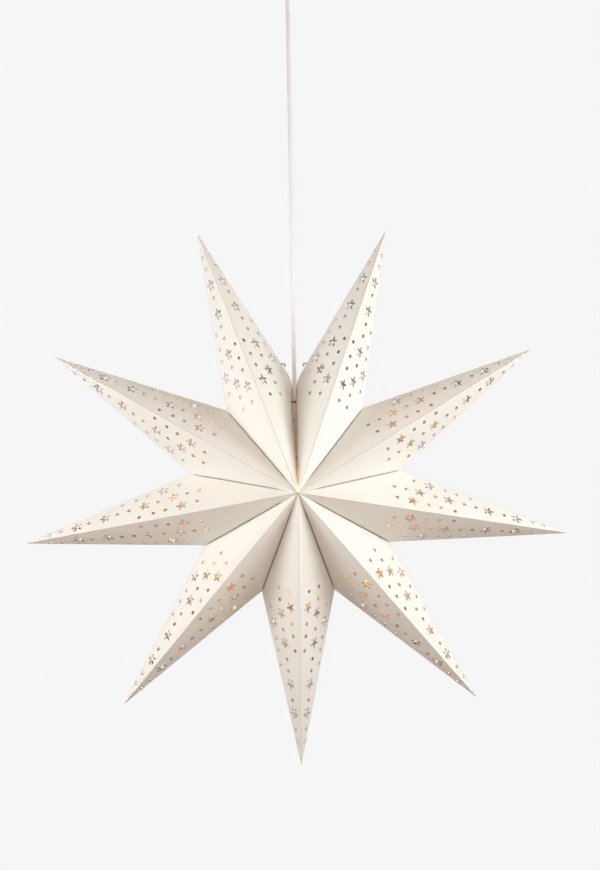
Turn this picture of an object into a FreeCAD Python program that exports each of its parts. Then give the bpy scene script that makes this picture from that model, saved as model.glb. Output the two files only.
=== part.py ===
import FreeCAD, Part
import os
import re
import Sketcher
from FreeCAD import Vector

# Folded paper star pendant lamp.  Nine hollow paper points, glued side to side, make a flat
# star that is open only at its top seam.  The star hangs by a bent wire from the retaining
# ring of a small screw-cap lampholder, and the lampholder hangs by its cord from a ceiling
# hook.  Millimetres; the origin is the middle of the hook plate's ceiling face, +Z is up and
# the front of the star looks along -Y.

DRIVING = {
    # paper star
    "tip_radius": 300.0,  # centre of the star to the tip of each point
    "valley_radius": 116.0,  # centre of the star to the valley between two points
    "half_depth": 80.0,  # star plane to the raised centre, front and back alike
    "point_count": 9,  # number of paper points
    "paper_thickness": 0.4,  # card of the star
    "glue_flap_width": 10.0,  # glued strip inside each valley fold
    "glue_flap_end": 14.0,  # where the glued strips stop short of the axis
    "star_punch_radius": 4.6,  # arms of the small punched stars
    "star_punch_waist": 0.42,  # inner corners of a punched star, as a share of its arms
    "seam_lean": 0.8,  # degrees that each lip of the top seam stands off the mid-plane
    "cord_notch_radius": 4.5,  # opening in the seam lips for the cord
    "star_drop": 650.0,  # ceiling to the star's centre
    # string ties of the seam
    "tie_level": 97.0,  # above the star's centre
    "string_radius": 0.6,
    "string_clearance": 0.3,
    "knot_radius": 1.8,
    # wire bracket
    "wire_radius": 1.0,
    "wire_bend": 5.0,  # centreline radius of the bracket's bends
    "wire_reach": 27.0,  # how far out the bracket's two arms stand
    "band_wall": 1.2,  # flat band that the arms are welded to
    "band_height": 3.0,
    "wire_hole_offset": 14.0,  # cord to the hole in the top fold of each upper point
    "wire_tip_offset": 9.0,  # cord to the end of each wire tip
    # cord
    "cord_radius": 2.2,
    "cord_clearance": 0.2,
    # lampholder, levels above the star's centre
    "contact_level": 38.0,  # end contact of the lamp
    "sleeve_radius": 14.0,
    "sleeve_wall": 2.0,
    "sleeve_skirt": 18.0,  # sleeve below the contact level
    "sleeve_head": 22.0,  # sleeve above the contact level
    "sleeve_lip": 8.6,  # bore of the sleeve's lower lip
    "flange_radius": 18.0,
    "flange_thickness": 3.0,
    "ledge_width": 2.0,  # step inside the sleeve that carries the contact block
    "ledge_rise": 1.0,  # contact level to that step
    "cap_height": 18.0,
    "cap_straight": 6.0,  # straight part of the cap, below its cone
    "cap_top_radius": 7.0,
    "cap_spigot": 2.0,
    "grip_radius": 5.5,
    "grip_height": 8.0,
    "grip_lip": 1.0,  # wall left at the top of the grip's cone
    "cord_entry": 6.0,  # top of the sleeve to the lower end of the cord
    "ring_radius": 20.0,
    "ring_height": 6.0,
    "ring_chamfer": 1.0,
    "contact_block_height": 15.0,
    "terminal_offset": 7.0,
    "seat_clearance": 0.3,
    # lamp
    "lamp_thread_radius": 6.95,
    "lamp_cap_length": 16.0,
    "lamp_cap_wall": 0.5,
    "lamp_cap_skirt": 2.0,  # plain part of the lamp's cap past its thread
    "lamp_shoulder_drop": 4.0,  # end contact to the shoulder of the lamp's cap
    "lamp_insulator_drop": 2.0,  # end contact to the small end of the lamp's cap
    "eyelet_drop": 3.0,  # end contact to the foot of the soldered eyelet
    "eyelet_chamfer": 1.0,
    "lamp_fit": 0.05,  # cement gap between the lamp's glass and cap
    "shell_wall": 0.4,
    "globe_radius": 22.5,
    "globe_drop": 50.0,  # end contact to the middle of the globe
    "glass_thickness": 0.9,
    "filament_radius": 0.9,
    "filament_length": 26.0,
    "filament_count": 4,
    "filament_lean": 12.0,  # degrees that each filament leans out
    # ceiling hook and bail
    "plate_radius": 20.0,
    "plate_thickness": 3.0,
    "plate_screw_radius": 2.1,
    "plate_screw_spacing": 28.0,
    "hook_wire_radius": 2.0,
    "hook_bend": 9.0,
    "hook_shank": 8.0,
    "hook_tip_angle": 15.0,  # degrees that the hook's tip rises past the horizontal
    "bail_wire_radius": 1.5,
    "bail_bend": 9.0,
    "bail_leg": 17.0,
    "bail_foot_bend": 2.0,
    "bail_foot": 3.0,  # where the bail's feet end, from the mid-plane
    # suspension block
    "block_radius": 12.0,
    "block_skirt": 24.0,  # block below its pin
    "cord_anchor": 8.0,  # pin to the top end of the cord
    "clamp_level": 17.0,  # pin to the middle of the cord clamp
    "clamp_width": 19.0,
    "clamp_height": 9.0,
    "clamp_thickness": 2.4,
    "clamp_screw_offset": 6.5,
    "clamp_recess": 1.0,  # mid-plane to the floor of the clamp's recess
    "screw_radius": 1.25,
    "screw_head_radius": 2.2,
    "screw_head_height": 1.6,
    "screw_clearance": 0.15,
    # ceiling cup
    "cup_gap": 2.0,  # ceiling to the cup's rim
    "cup_radius": 48.0,
    "cup_rim": 18.0,  # straight part below the rim
    "cup_taper": 14.0,  # degrees that the cup's side leans in below its straight part
    "cup_round": 8.0,  # outside radius between the side and the floor
    "cup_floor_clearance": 6.0,
    "cup_wall": 1.6,
    "grommet_radius": 5.0,
    "grommet_flange": 1.6,
}

DERIVED = {
    "half_angle": "180deg / point_count",
    "ridge_length": "sqrt(tip_radius^2 + half_depth^2)",
    "valley_out": "valley_radius * cos(half_angle)",
    "valley_side": "valley_radius * sin(half_angle)",
    "base_half_width": "valley_side * tip_radius / (tip_radius - valley_out)",
    "valley_along": "tip_radius * (tip_radius - valley_out) / ridge_length",
    "valley_inset": "half_depth * (tip_radius - valley_out) / ridge_length",
    "valley_off": "sqrt(valley_side^2 + valley_inset^2)",
    "panel_tilt": "atan(valley_inset / valley_side)",
    # the seam's lips lie a little inside the glued valleys' planes
    "lip_angle": "half_angle - seam_lean * 1deg",
    "lip_radius": "1 / (cos(lip_angle) / tip_radius + sin(lip_angle) / base_half_width)",
    "lip_out": "lip_radius * cos(lip_angle)",
    "lip_side": "lip_radius * sin(lip_angle)",
    "lip_along": "tip_radius * (tip_radius - lip_out) / ridge_length",
    "lip_inset": "half_depth * (tip_radius - lip_out) / ridge_length",
    "lip_off": "sqrt(lip_side^2 + lip_inset^2)",
    "seam_half_gap": "tie_level * tan(seam_lean * 1deg)",
    "lip_depth_at_tie": "half_depth * (1 - tie_level / lip_radius)",
    "lip_slant": "sqrt(lip_radius^2 + half_depth^2) / lip_radius",
    "tie_depth": "lip_depth_at_tie - glue_flap_width * lip_slant / 2",
    "knot_offset": "seam_half_gap + paper_thickness + knot_radius",
    "seam_knot_radius": "seam_half_gap - 0.5 * string_clearance",
    # wire bracket: its tips leave through the top folds of the two upper points
    "fold_slope": "(tip_radius * cos(half_angle) - valley_radius) / (tip_radius * sin(half_angle))",
    "tip_level": "valley_radius + wire_hole_offset * fold_slope",
    "band_top": "contact_level - seat_clearance",
    "band_radius": "sleeve_radius + seat_clearance + band_wall",
    "arm_root": "band_radius - band_wall / 2",
    "ring_top": "band_top - band_height - seat_clearance",
    # lampholder levels
    "sleeve_top": "contact_level + sleeve_head",
    "ledge_level": "contact_level + ledge_rise",
    "block_top": "ledge_level + contact_block_height",
    "cap_top": "sleeve_top + cap_height",
    "cord_bottom": "sleeve_top + cord_entry",
    "cord_bore_radius": "cord_radius + cord_clearance",
    "shell_radius": "lamp_thread_radius + seat_clearance + shell_wall",
    "terminal_top": "block_top + screw_head_height",
    # ceiling side, levels below the ceiling
    "hook_turn_level": "-plate_thickness - hook_shank",
    "hook_centre": "hook_turn_level - sqrt(3) * hook_bend",
    "saddle": "hook_centre - hook_bend",
    "bail_top": "saddle + hook_wire_radius + seat_clearance + bail_wire_radius",
    "bail_centre": "bail_top - bail_bend",
    "pin_level": "bail_centre - bail_leg",
    "block_half_depth": "bail_bend - bail_wire_radius - seat_clearance",
    "cord_top": "pin_level - cord_anchor",
    "block_bottom": "pin_level - block_skirt",
    "clamp_back": "cord_radius + cord_clearance",
    "clamp_middle": "pin_level - clamp_level",
    "cup_bottom": "block_bottom - cup_floor_clearance - cup_wall",
    "cup_turn": "-cup_gap - cup_rim",
    "cup_lean": "cup_taper * 1deg",
    "cup_round_level": "cup_bottom + cup_round",
    "cup_side_run": "(cup_turn - cup_round_level) * sin(cup_lean)",
    "cup_floor_radius": "cup_radius - (cup_round + cup_side_run) / cos(cup_lean)",
}

doc = FreeCAD.newDocument("star_pendant")
sheet = doc.addObject("Spreadsheet::Sheet", "Sizes")
for row, (alias, number) in enumerate(DRIVING.items(), 1):
    sheet.set("A%d" % row, alias)
    sheet.set("B%d" % row, str(number))
    sheet.setAlias("B%d" % row, alias)
doc.recompute()


def formula(text):
    """Expression with each driving size pointing at its cell and each derived one written out."""

    def written_out(match):
        word = match.group(0)
        if word in DERIVED:
            return "(" + formula(DERIVED[word]) + ")"
        return "Sizes." + word if word in DRIVING else word

    return re.sub(r"[a-z][a-z_0-9]*", written_out, text)


def size(text):
    """Value of an expression, in millimetres, degrees or as a plain number."""
    return float(sheet.evalExpression(formula(text)))


def place(x, y, z, turn=""):
    """Placement expression at x, y, z with an optional turn."""
    spin = turn or "rotation(vector(0; 0; 1); 0deg)"
    return "placement(vector(%s; %s; %s); %s)" % (x, y, z, spin)


TURN_Z_TO_X = "rotation(vector(0; 1; 0); 90deg)"
TURN_Z_TO_Y = "rotation(vector(1; 0; 0); -90deg)"
UPRIGHT_XZ = "rotation(vector(1; 0; 0); 90deg)"
UPRIGHT_YZ = "rotation(vector(0; 0; 1); 90deg) * rotation(vector(1; 0; 0); 90deg)"
TURNS = {"x": TURN_Z_TO_X, "y": TURN_Z_TO_Y, "z": ""}


def star_level(text="0"):
    """Height expression measured up from the star's centre."""
    return "-star_drop + (%s)" % text


def make(kind, name, **formulas):
    """One document object with its sizes bound to the sheet."""
    thing = doc.addObject(kind, name)
    for prop, text in formulas.items():
        thing.setExpression(prop, formula(text))
    return thing


def rod(name, radius, length, start, axis="z"):
    """Round bar of the given radius and length from start along +axis."""
    return make("Part::Cylinder", name, Radius=radius, Height=length,
                Placement=place(*start, TURNS[axis]))


def box(name, sizes, corner):
    """Rectangular block from its lowest corner."""
    length, width, height = sizes
    return make("Part::Box", name, Length=length, Width=width, Height=height,
                Placement=place(*corner))


def fuse(name, shapes):
    """Pieces of one material joined into one solid."""
    joined = doc.addObject("Part::MultiFuse", name)
    joined.Shapes = shapes
    return joined


def cut(name, base, tools):
    """Base with the tools taken out of it."""
    tool = tools[0] if len(tools) == 1 else fuse(name + "_tools", tools)
    result = doc.addObject("Part::Cut", name)
    result.Base = base
    result.Tool = tool
    return result


def mirrored(name, source, normal):
    """Copy of source across the plane through the origin with this normal."""
    copy = doc.addObject("Part::Mirroring", name)
    copy.Source = source
    copy.Normal = normal
    return copy


def group(name, pieces, placement=""):
    """Separate solids kept together, with an optional common placement."""
    bundle = doc.addObject("Part::Compound", name)
    bundle.Links = pieces
    if placement:
        bundle.setExpression("Placement", formula(placement))
    return bundle


def hold(sketch, element, point, x, y):
    """Fix one sketch point at the expressions x and y."""
    for kind, text in (("DistanceX", x), ("DistanceY", y)):
        index = sketch.addConstraint(Sketcher.Constraint(kind, -1, 1, element, point, size(text)))
        sketch.setExpression("Constraints[%d]" % index, formula(text))


def arc_through(start, end, centre, way):
    """Arc from start to end about centre; way is ccw or cw."""
    radius = (start - centre).Length
    angles = [(p - centre).getAngle(Vector(1, 0, 0)) * (1 if p.y >= centre.y else -1)
              for p in (start, end)]
    first, last = angles if way == "ccw" else reversed(angles)
    if last <= first:
        last += 2 * 3.141592653589793
    return Part.ArcOfCircle(Part.Circle(centre, Vector(0, 0, 1), radius), first, last)


def outline(sketch, corners, closed=True):
    """Lines and arcs through corners.

    A corner is (x, y), or (x, y, centre x, centre y, way) where an arc leads on to the next."""
    first = sketch.GeometryCount
    count = len(corners) if closed else len(corners) - 1
    ends = []
    for index in range(count):
        corner = corners[index]
        after = corners[(index + 1) % len(corners)]
        start = Vector(size(corner[0]), size(corner[1]), 0)
        end = Vector(size(after[0]), size(after[1]), 0)
        if len(corner) == 2:
            sketch.addGeometry(Part.LineSegment(start, end), False)
            ends.append((1, 2))
        else:
            centre = Vector(size(corner[2]), size(corner[3]), 0)
            sketch.addGeometry(arc_through(start, end, centre, corner[4]), False)
            ends.append((1, 2) if corner[4] == "ccw" else (2, 1))
    for index in range(count):
        corner = corners[index]
        if closed or index:
            before = (index - 1) % count
            sketch.addConstraint(Sketcher.Constraint(
                "Coincident", first + before, ends[before][1], first + index, ends[index][0]))
        hold(sketch, first + index, ends[index][0], corner[0], corner[1])
        if len(corner) > 2:
            reach = "sqrt((%s - (%s))^2 + (%s - (%s))^2)" % (corner[0], corner[2],
                                                             corner[1], corner[3])
            radius = sketch.addConstraint(Sketcher.Constraint("Radius", first + index, size(reach)))
            sketch.setExpression("Constraints[%d]" % radius, formula(reach))
    if not closed:
        hold(sketch, first + count - 1, ends[-1][1], *corners[-1][:2])


def turned(name, corners, level, depth="0", turn=""):
    """Body of revolution about its own axis from (radius, height) corners above level."""
    body = doc.addObject("PartDesign::Body", name)
    planes = {plane.Role: plane for plane in body.Origin.OriginFeatures}
    sketch = body.newObject("Sketcher::SketchObject", name + "_profile")
    sketch.AttachmentSupport = [(planes["XZ_Plane"], "")]
    sketch.MapMode = "FlatFace"
    outline(sketch, corners)
    sweep = body.newObject("PartDesign::Revolution", name + "_turn")
    sweep.Profile = sketch
    sweep.ReferenceAxis = (sketch, ["V_Axis"])
    sweep.Angle = 360
    body.setExpression("Placement", formula(place("0", depth, level, turn)))
    return body


def plate(name, sketch, thickness, both_ways=False):
    """Flat piece of the sketch's outline, less its inner loops, along the sketch's normal."""
    slab = make("Part::Extrusion", name, LengthFwd=thickness)
    slab.Base = sketch
    slab.DirMode = "Normal"
    slab.Solid = True
    slab.Symmetric = both_ways
    slab.FaceMakerClass = "Part::FaceMakerBullseye"
    return slab


def bent_wire(name, corners, radius, path_turn, start, start_turn):
    """Round wire along a flat path of runs and tangent bends, from start."""
    path = make("Sketcher::SketchObject", name + "_path", Placement=place("0", "0", "0", path_turn))
    outline(path, corners, closed=False)
    section = make("Part::Circle", name + "_section", Radius=radius,
                   Placement=place(*start, start_turn))
    wire = doc.addObject("Part::Sweep", name)
    wire.Sections = [section]
    wire.Spine = (path, ["Edge%d" % (index + 1) for index in range(len(corners) - 1)])
    wire.Solid = True
    wire.Frenet = False
    return wire


def screw(name, seat, axis, length):
    """Pan-head screw whose shank runs from the seat along +axis, head on the other side."""
    x, y, z = seat
    back = {"x": ("%s - screw_head_height" % x, y, z), "y": (x, "%s - screw_head_height" % y, z),
            "z": (x, y, "%s - screw_head_height" % z)}[axis]
    head = rod(name + "_head", "screw_head_radius", "screw_head_height", back, axis)
    shank = rod(name + "_shank", "screw_radius", length, seat, axis)
    return fuse(name, [head, shank])


nodes = []


def keep(thing, label):
    """Name a finished piece; the name is also its file's."""
    thing.Label = label
    nodes.append(thing)
    return thing


# ---- paper star ------------------------------------------------------------------------------

# The stars that are punched in each panel: shares of the panel's sides from the tip, first
# along the ridge and then along the outer fold, so the pattern follows the panel.
PUNCHED_STARS = ((0.449, 0.213), (0.269, 0.459), (0.093, 0.681),
                 (0.213, 0.375), (0.144, 0.246), (0.087, 0.169))
STAR_ARMS = 5


def punched_star(sketch, along, off, valley_along, valley_off):
    """Five-armed hole with one arm towards the tip of the point."""
    middle_x = "(%s * ridge_length + %s * %s)" % (along, off, valley_along)
    middle_y = "(%s * %s)" % (off, valley_off)
    corners = []
    for step in range(2 * STAR_ARMS):
        reach = "star_punch_radius" if step % 2 == 0 else "star_punch_radius * star_punch_waist"
        angle = "%ddeg" % (180 + 180 * step / STAR_ARMS)
        corners.append(("%s + %s * cos(%s)" % (middle_x, reach, angle),
                        "%s + %s * sin(%s)" % (middle_y, reach, angle)))
    outline(sketch, corners)


def star_half(name, valley_along, valley_off, plane_angle, plane_radius):
    """Front and back panel of one side of a point, with the glue flap in its valley plane.

    The point lies along +X of its own frame; this half is its +Z side."""
    ridge_turn = ("rotation(vector(0; 0; 1); -180deg + atan(half_depth / tip_radius))"
                  " * rotation(vector(1; 0; 0); 90deg + panel_tilt)")
    die = make("Sketcher::SketchObject", name + "_die",
               Placement=place("tip_radius", "0", "0", ridge_turn))
    outline(die, [("0", "0"), ("ridge_length", "0"), (valley_along, valley_off)])
    for along, off in PUNCHED_STARS:
        punched_star(die, along, off, valley_along, valley_off)
    front = plate(name + "_front", die, "paper_thickness")
    back = mirrored(name + "_back", front, Vector(0, 1, 0))
    flap_turn = ("rotation(vector(0; 1; 0); -(%s)) * rotation(vector(1; 0; 0); 180deg)"
                 % plane_angle)
    strip = make("Sketcher::SketchObject", name + "_strip",
                 Placement=place("0", "0", "0", flap_turn))
    outer = "half_depth * (1 - glue_flap_end / %s)" % plane_radius
    strip_depth = "glue_flap_width * sqrt(%s^2 + half_depth^2) / %s" % (plane_radius, plane_radius)
    inner = "%s - %s" % (outer, strip_depth)
    outline(strip, [("glue_flap_end", "-(%s)" % outer), (plane_radius, "0"),
                    ("glue_flap_end", outer), ("glue_flap_end", inner),
                    ("%s * (1 - %s / half_depth)" % (plane_radius, strip_depth), "0"),
                    ("glue_flap_end", "-(%s)" % inner)])
    flap = plate(name + "_flap", strip, "paper_thickness")
    return fuse(name, [front, back, flap])


def paper_star():
    """Nine points round the star's centre; the first and last one meet at the top seam."""
    glued = star_half("glued_half", "valley_along", "valley_off", "half_angle", "valley_radius")
    lipped = star_half("lipped_half", "lip_along", "lip_off", "lip_angle", "lip_radius")
    across = Vector(0, 0, 1)
    glued_below = mirrored("glued_half_below", glued, across)
    lipped_below = mirrored("lipped_half_below", lipped, across)
    inner_point = fuse("inner_point", [glued, glued_below])
    right_point = fuse("right_point", [lipped, glued_below])
    left_point = fuse("left_point", [glued, lipped_below])
    holes = seam_holes()
    count = int(size("point_count"))
    for number in range(1, count + 1):
        form = {1: right_point, count: left_point}.get(number, inner_point)
        turn = "rotation(vector(0; 1; 0); %d * half_angle - 90deg)" % (2 * number - 1)
        point = group("point_%d_paper" % number, [form], place("0", "0", "-star_drop", turn))
        if number in (1, count):
            point = cut("point_%d_open" % number, point, [holes])
        keep(point, "point_%d" % number)


def seam_holes():
    """Cord notch, wire holes and string holes of the two points beside the seam."""
    notch = rod("cord_notch", "cord_notch_radius", "2 * cord_notch_radius + lip_radius - cap_top",
                ("0", "0", star_level("cap_top")))
    hole_radius = "wire_radius + seat_clearance"
    reach = "2 * (wire_hole_offset - wire_tip_offset)"
    tools = [notch,
             rod("right_wire_hole", hole_radius, reach,
                 ("wire_tip_offset", "0", star_level("tip_level")), "x"),
             rod("left_wire_hole", hole_radius, reach,
                 ("-wire_tip_offset - %s" % reach, "0", star_level("tip_level")), "x")]
    for side, sign in (("front", "-"), ("back", "")):
        tools.append(rod(side + "_string_hole", "string_radius + string_clearance",
                         "2 * knot_offset",
                         ("-knot_offset", sign + "tie_depth", star_level("tie_level")), "x"))
    return fuse("seam_holes", tools)


def string_ties():
    """Thread through both lips of the seam, with a knot behind each lip and one between them."""
    waist = "sqrt(knot_radius^2 - string_radius^2)"
    seam_waist = "sqrt(seam_knot_radius^2 - string_radius^2)"
    end = "knot_offset + knot_radius"
    for side, sign in (("front", "-"), ("back", "")):
        tie = turned(side + "_tie_string", [
            ("0", "-(%s)" % end), ("knot_radius", "-knot_offset"),
            ("2 * string_radius", "-knot_offset + " + waist),
            ("string_radius", "-knot_offset + " + waist),
            ("string_radius", "-" + seam_waist), ("seam_knot_radius", "0"),
            ("string_radius", seam_waist), ("string_radius", "knot_offset - " + waist),
            ("2 * string_radius", "knot_offset - " + waist), ("knot_radius", "knot_offset"),
            ("0", end)],
            star_level("tie_level"), sign + "tie_depth", TURN_Z_TO_X)
        keep(tie, side + "_tie")


def wire_bracket():
    """Band round the lampholder with two wire arms that hook out through the top folds."""
    low = star_level("band_top - band_height / 2")
    high = star_level("tip_level")
    arm = bent_wire("right_arm", [
        ("arm_root", low),
        ("wire_reach - wire_bend", low, "wire_reach - wire_bend", low + " + wire_bend", "ccw"),
        ("wire_reach", low + " + wire_bend"),
        ("wire_reach", high + " - wire_bend", "wire_reach - wire_bend", high + " - wire_bend",
         "ccw"),
        ("wire_reach - wire_bend", high),
        ("wire_tip_offset", high)],
        "wire_radius", UPRIGHT_XZ, ("arm_root", "0", low), TURN_Z_TO_X)
    other_arm = mirrored("left_arm", arm, Vector(1, 0, 0))
    band = turned("bracket_band", [
        ("band_radius - band_wall", "-band_height"), ("band_radius", "-band_height"),
        ("band_radius", "0"), ("band_radius - band_wall", "0")], star_level("band_top"))
    keep(fuse("bracket_wire", [band, arm, other_arm]), "wire_bracket")


# ---- lampholder ------------------------------------------------------------------------------

def lampholder():
    """Cap, threaded sleeve, contact block with its metal parts, cord grip and retaining ring."""
    bore = "sleeve_radius - sleeve_wall"
    low_bore = bore + " - ledge_width"
    keep(turned("cap_shell", [
        (bore + " - seat_clearance - sleeve_wall", "-cap_spigot"),
        (bore + " - seat_clearance", "-cap_spigot"), (bore + " - seat_clearance", "0"),
        ("sleeve_radius", "0"), ("sleeve_radius", "cap_straight"),
        ("cap_top_radius", "cap_height"), ("cord_bore_radius", "cap_height"),
        ("cord_bore_radius", "cap_height - sleeve_wall"),
        ("cap_top_radius - 0.5 * sleeve_wall", "cap_height - sleeve_wall"),
        (bore + " - seat_clearance - sleeve_wall", "cap_straight")],
        star_level("sleeve_top")), "holder_cap")
    keep(turned("sleeve_shell", [
        ("sleeve_lip", "-sleeve_skirt"), ("sleeve_radius", "-sleeve_skirt"),
        ("sleeve_radius", "0"), ("flange_radius", "0"), ("flange_radius", "flange_thickness"),
        ("sleeve_radius", "flange_thickness"), ("sleeve_radius", "sleeve_head"),
        (bore, "sleeve_head"), (bore, "ledge_rise"), (low_bore, "ledge_rise"),
        (low_bore, "sleeve_wall - sleeve_skirt"), ("sleeve_lip", "sleeve_wall - sleeve_skirt")],
        star_level("contact_level")), "holder_sleeve")
    blank = turned("contact_blank", [
        ("0", "0"), (bore + " - seat_clearance", "0"),
        (bore + " - seat_clearance", "contact_block_height"), ("0", "contact_block_height")],
        star_level("ledge_level"))
    wells = []
    screws = []
    depth = "contact_block_height / 2"
    for side, sign in (("right", ""), ("left", "-")):
        foot = (sign + "terminal_offset", "0", star_level("block_top - " + depth))
        wells.append(rod(side + "_terminal_well", "screw_radius + screw_clearance", depth, foot))
        head = rod(side + "_terminal_head", "screw_head_radius", "screw_head_height",
                   (foot[0], "0", star_level("block_top")))
        shank = rod(side + "_terminal_shank", "screw_radius", depth + " - screw_clearance",
                    (foot[0], "0", foot[2] + " + screw_clearance"))
        screws.append(fuse(side + "_terminal", [head, shank]))
    keep(cut("contact_body", blank, wells), "contact_block")
    keep(group("terminal_pair", screws), "holder_terminal_screws")
    keep(turned("shell_tube", [
        ("shell_radius - shell_wall", "-lamp_cap_length"), ("shell_radius", "-lamp_cap_length"),
        ("shell_radius", "0"), ("shell_radius - shell_wall", "0")],
        star_level("ledge_level")), "screw_shell")
    tongue = "ledge_rise - seat_clearance"
    keep(box("contact_tongue", ("2 * cord_bore_radius", "cord_bore_radius", tongue),
             ("-cord_bore_radius", "-cord_bore_radius / 2",
              star_level("contact_level + seat_clearance"))), "centre_contact")
    keep(turned("grip_nut", [
        ("cord_bore_radius", "0"), ("grip_radius", "0"), ("grip_radius", "grip_height / 2"),
        ("cord_bore_radius + grip_lip", "grip_height"), ("cord_bore_radius", "grip_height")],
        star_level("cap_top")), "cord_grip")
    keep(turned("retaining_ring", [
        ("sleeve_radius + seat_clearance", "-ring_height"),
        ("ring_radius - ring_chamfer", "-ring_height"),
        ("ring_radius", "ring_chamfer - ring_height"), ("ring_radius", "-ring_chamfer"),
        ("ring_radius - ring_chamfer", "0"), ("sleeve_radius + seat_clearance", "0")],
        star_level("ring_top")), "shade_ring")
    leads = [rod(side + "_lead", "screw_radius / 2", "cord_bottom - terminal_top - screw_clearance",
                 (sign + "cord_radius / 2", "0", star_level("terminal_top + screw_clearance")))
             for side, sign in (("right", ""), ("left", "-"))]
    tails = [rod(side + "_lead_tail", "screw_radius / 2", "terminal_offset - cord_radius / 2",
                 ("cord_radius / 2" if side == "right" else "-terminal_offset", "0",
                  star_level("terminal_top + screw_clearance + screw_radius / 2")), "x")
             for side in ("right", "left")]
    keep(group("lead_pair", [fuse("right_wire", [leads[0], tails[0]]),
                             fuse("left_wire", [leads[1], tails[1]])]), "holder_leads")


def lamp():
    """Screw-cap globe lamp with filament strips, contact up."""
    middle = "-globe_drop"
    inside = "globe_radius - glass_thickness"
    neck = "lamp_thread_radius - lamp_cap_wall - lamp_fit"
    shoulder = "cos(45deg)"
    neck_top = "lamp_cap_skirt - lamp_cap_length"
    throat = "%s + (globe_radius * 2 * %s - %s)" % (middle, shoulder, neck)
    keep(turned("globe_glass", [
        ("0", middle + " - globe_radius", "0", middle, "ccw"),
        ("globe_radius * " + shoulder, "%s + globe_radius * %s" % (middle, shoulder)),
        (neck, throat), (neck, neck_top), (neck + " - glass_thickness", neck_top),
        (neck + " - glass_thickness", throat + " - glass_thickness / 2"),
        ("(%s) * %s" % (inside, shoulder), "%s + (%s) * %s" % (middle, inside, shoulder),
         "0", middle, "cw"),
        ("0", "%s - (%s)" % (middle, inside))], star_level("contact_level")), "bulb_globe")
    shell_low = "-lamp_cap_length - lamp_cap_skirt"
    keep(turned("lamp_cap_shell", [
        ("lamp_thread_radius - lamp_cap_wall", shell_low), ("lamp_thread_radius", shell_low),
        ("lamp_thread_radius", "-lamp_shoulder_drop"),
        ("lamp_thread_radius / 2", "-lamp_insulator_drop"),
        ("lamp_thread_radius / 2 - lamp_cap_wall", "-lamp_insulator_drop"),
        ("lamp_thread_radius / 2 - lamp_cap_wall", "-lamp_insulator_drop - lamp_cap_wall"),
        ("lamp_thread_radius - lamp_cap_wall", "-lamp_shoulder_drop - lamp_cap_wall")],
        star_level("contact_level")), "bulb_cap")
    eyelet = "lamp_thread_radius / 2 - lamp_cap_wall - 2 * lamp_fit"
    keep(turned("lamp_eyelet", [
        ("0", "-eyelet_drop"), (eyelet, "-eyelet_drop"), (eyelet, "-eyelet_chamfer"),
        (eyelet + " - eyelet_chamfer", "0"), ("0", "0")],
        star_level("contact_level")), "bulb_contact")
    stem_low = throat + " - filament_length / 2"
    flare = neck + " - glass_thickness - 2 * lamp_fit"
    keep(turned("glass_stem", [
        ("0", stem_low), ("2 * filament_radius", stem_low), ("2 * filament_radius", throat),
        (flare, neck_top + " - glass_thickness"), (flare, neck_top), ("0", neck_top)],
        star_level("contact_level")), "bulb_stem")
    strips = []
    count = int(size("filament_count"))
    hub_low = stem_low + " - 2 * filament_radius"
    hub = rod("filament_hub", "3 * filament_radius", "2 * filament_radius",
              ("0", "0", star_level("contact_level + (%s)" % hub_low)))
    for number in range(count):
        turn = ("rotation(vector(0; 0; 1); %d * 360deg / filament_count)"
                " * rotation(vector(0; 1; 0); 180deg - filament_lean * 1deg)") % number
        strips.append(make("Part::Cylinder", "filament_%d" % (number + 1),
                           Radius="filament_radius", Height="filament_length",
                           Placement=place("0", "0", star_level("contact_level + (%s)"
                                                                " + filament_radius" % hub_low),
                                           turn)))
    keep(fuse("filament_strips", [hub] + strips), "led_filaments")


# ---- cord and ceiling set --------------------------------------------------------------------

def cord():
    """Taut round cord from the suspension block down into the lampholder's cap."""
    keep(rod("cord_run", "cord_radius", "cord_top + star_drop - cord_bottom",
             ("0", "0", star_level("cord_bottom"))), "pendant_cord")


def ceiling_hook():
    """Round plate with two screw holes and a question-mark hook of bent rod."""
    disc = turned("hook_disc", [
        ("0", "-plate_thickness"), ("plate_radius - plate_thickness / 2", "-plate_thickness"),
        ("plate_radius", "-plate_thickness / 2"), ("plate_radius", "0"), ("0", "0")], "0")
    holes = [rod(side + "_plate_hole", "plate_screw_radius", "plate_thickness",
                 (sign + "plate_screw_spacing / 2", "0", "-plate_thickness"))
             for side, sign in (("right", ""), ("left", "-"))]
    drilled = cut("drilled_disc", disc, holes)
    tip = "hook_tip_angle * 1deg"
    hook = bent_wire("hook_rod", [
        ("0", "-plate_thickness / 2"),
        ("0", "hook_turn_level", "-hook_bend", "hook_turn_level", "cw"),
        ("-hook_bend / 2", "hook_turn_level - hook_bend * sqrt(3) / 2", "0", "hook_centre", "ccw"),
        ("hook_bend * cos(%s)" % tip, "hook_centre + hook_bend * sin(%s)" % tip)],
        "hook_wire_radius", UPRIGHT_XZ, ("0", "0", "-plate_thickness / 2"), "")
    keep(fuse("hook_on_plate", [drilled, hook]), "ceiling_hook")


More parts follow.
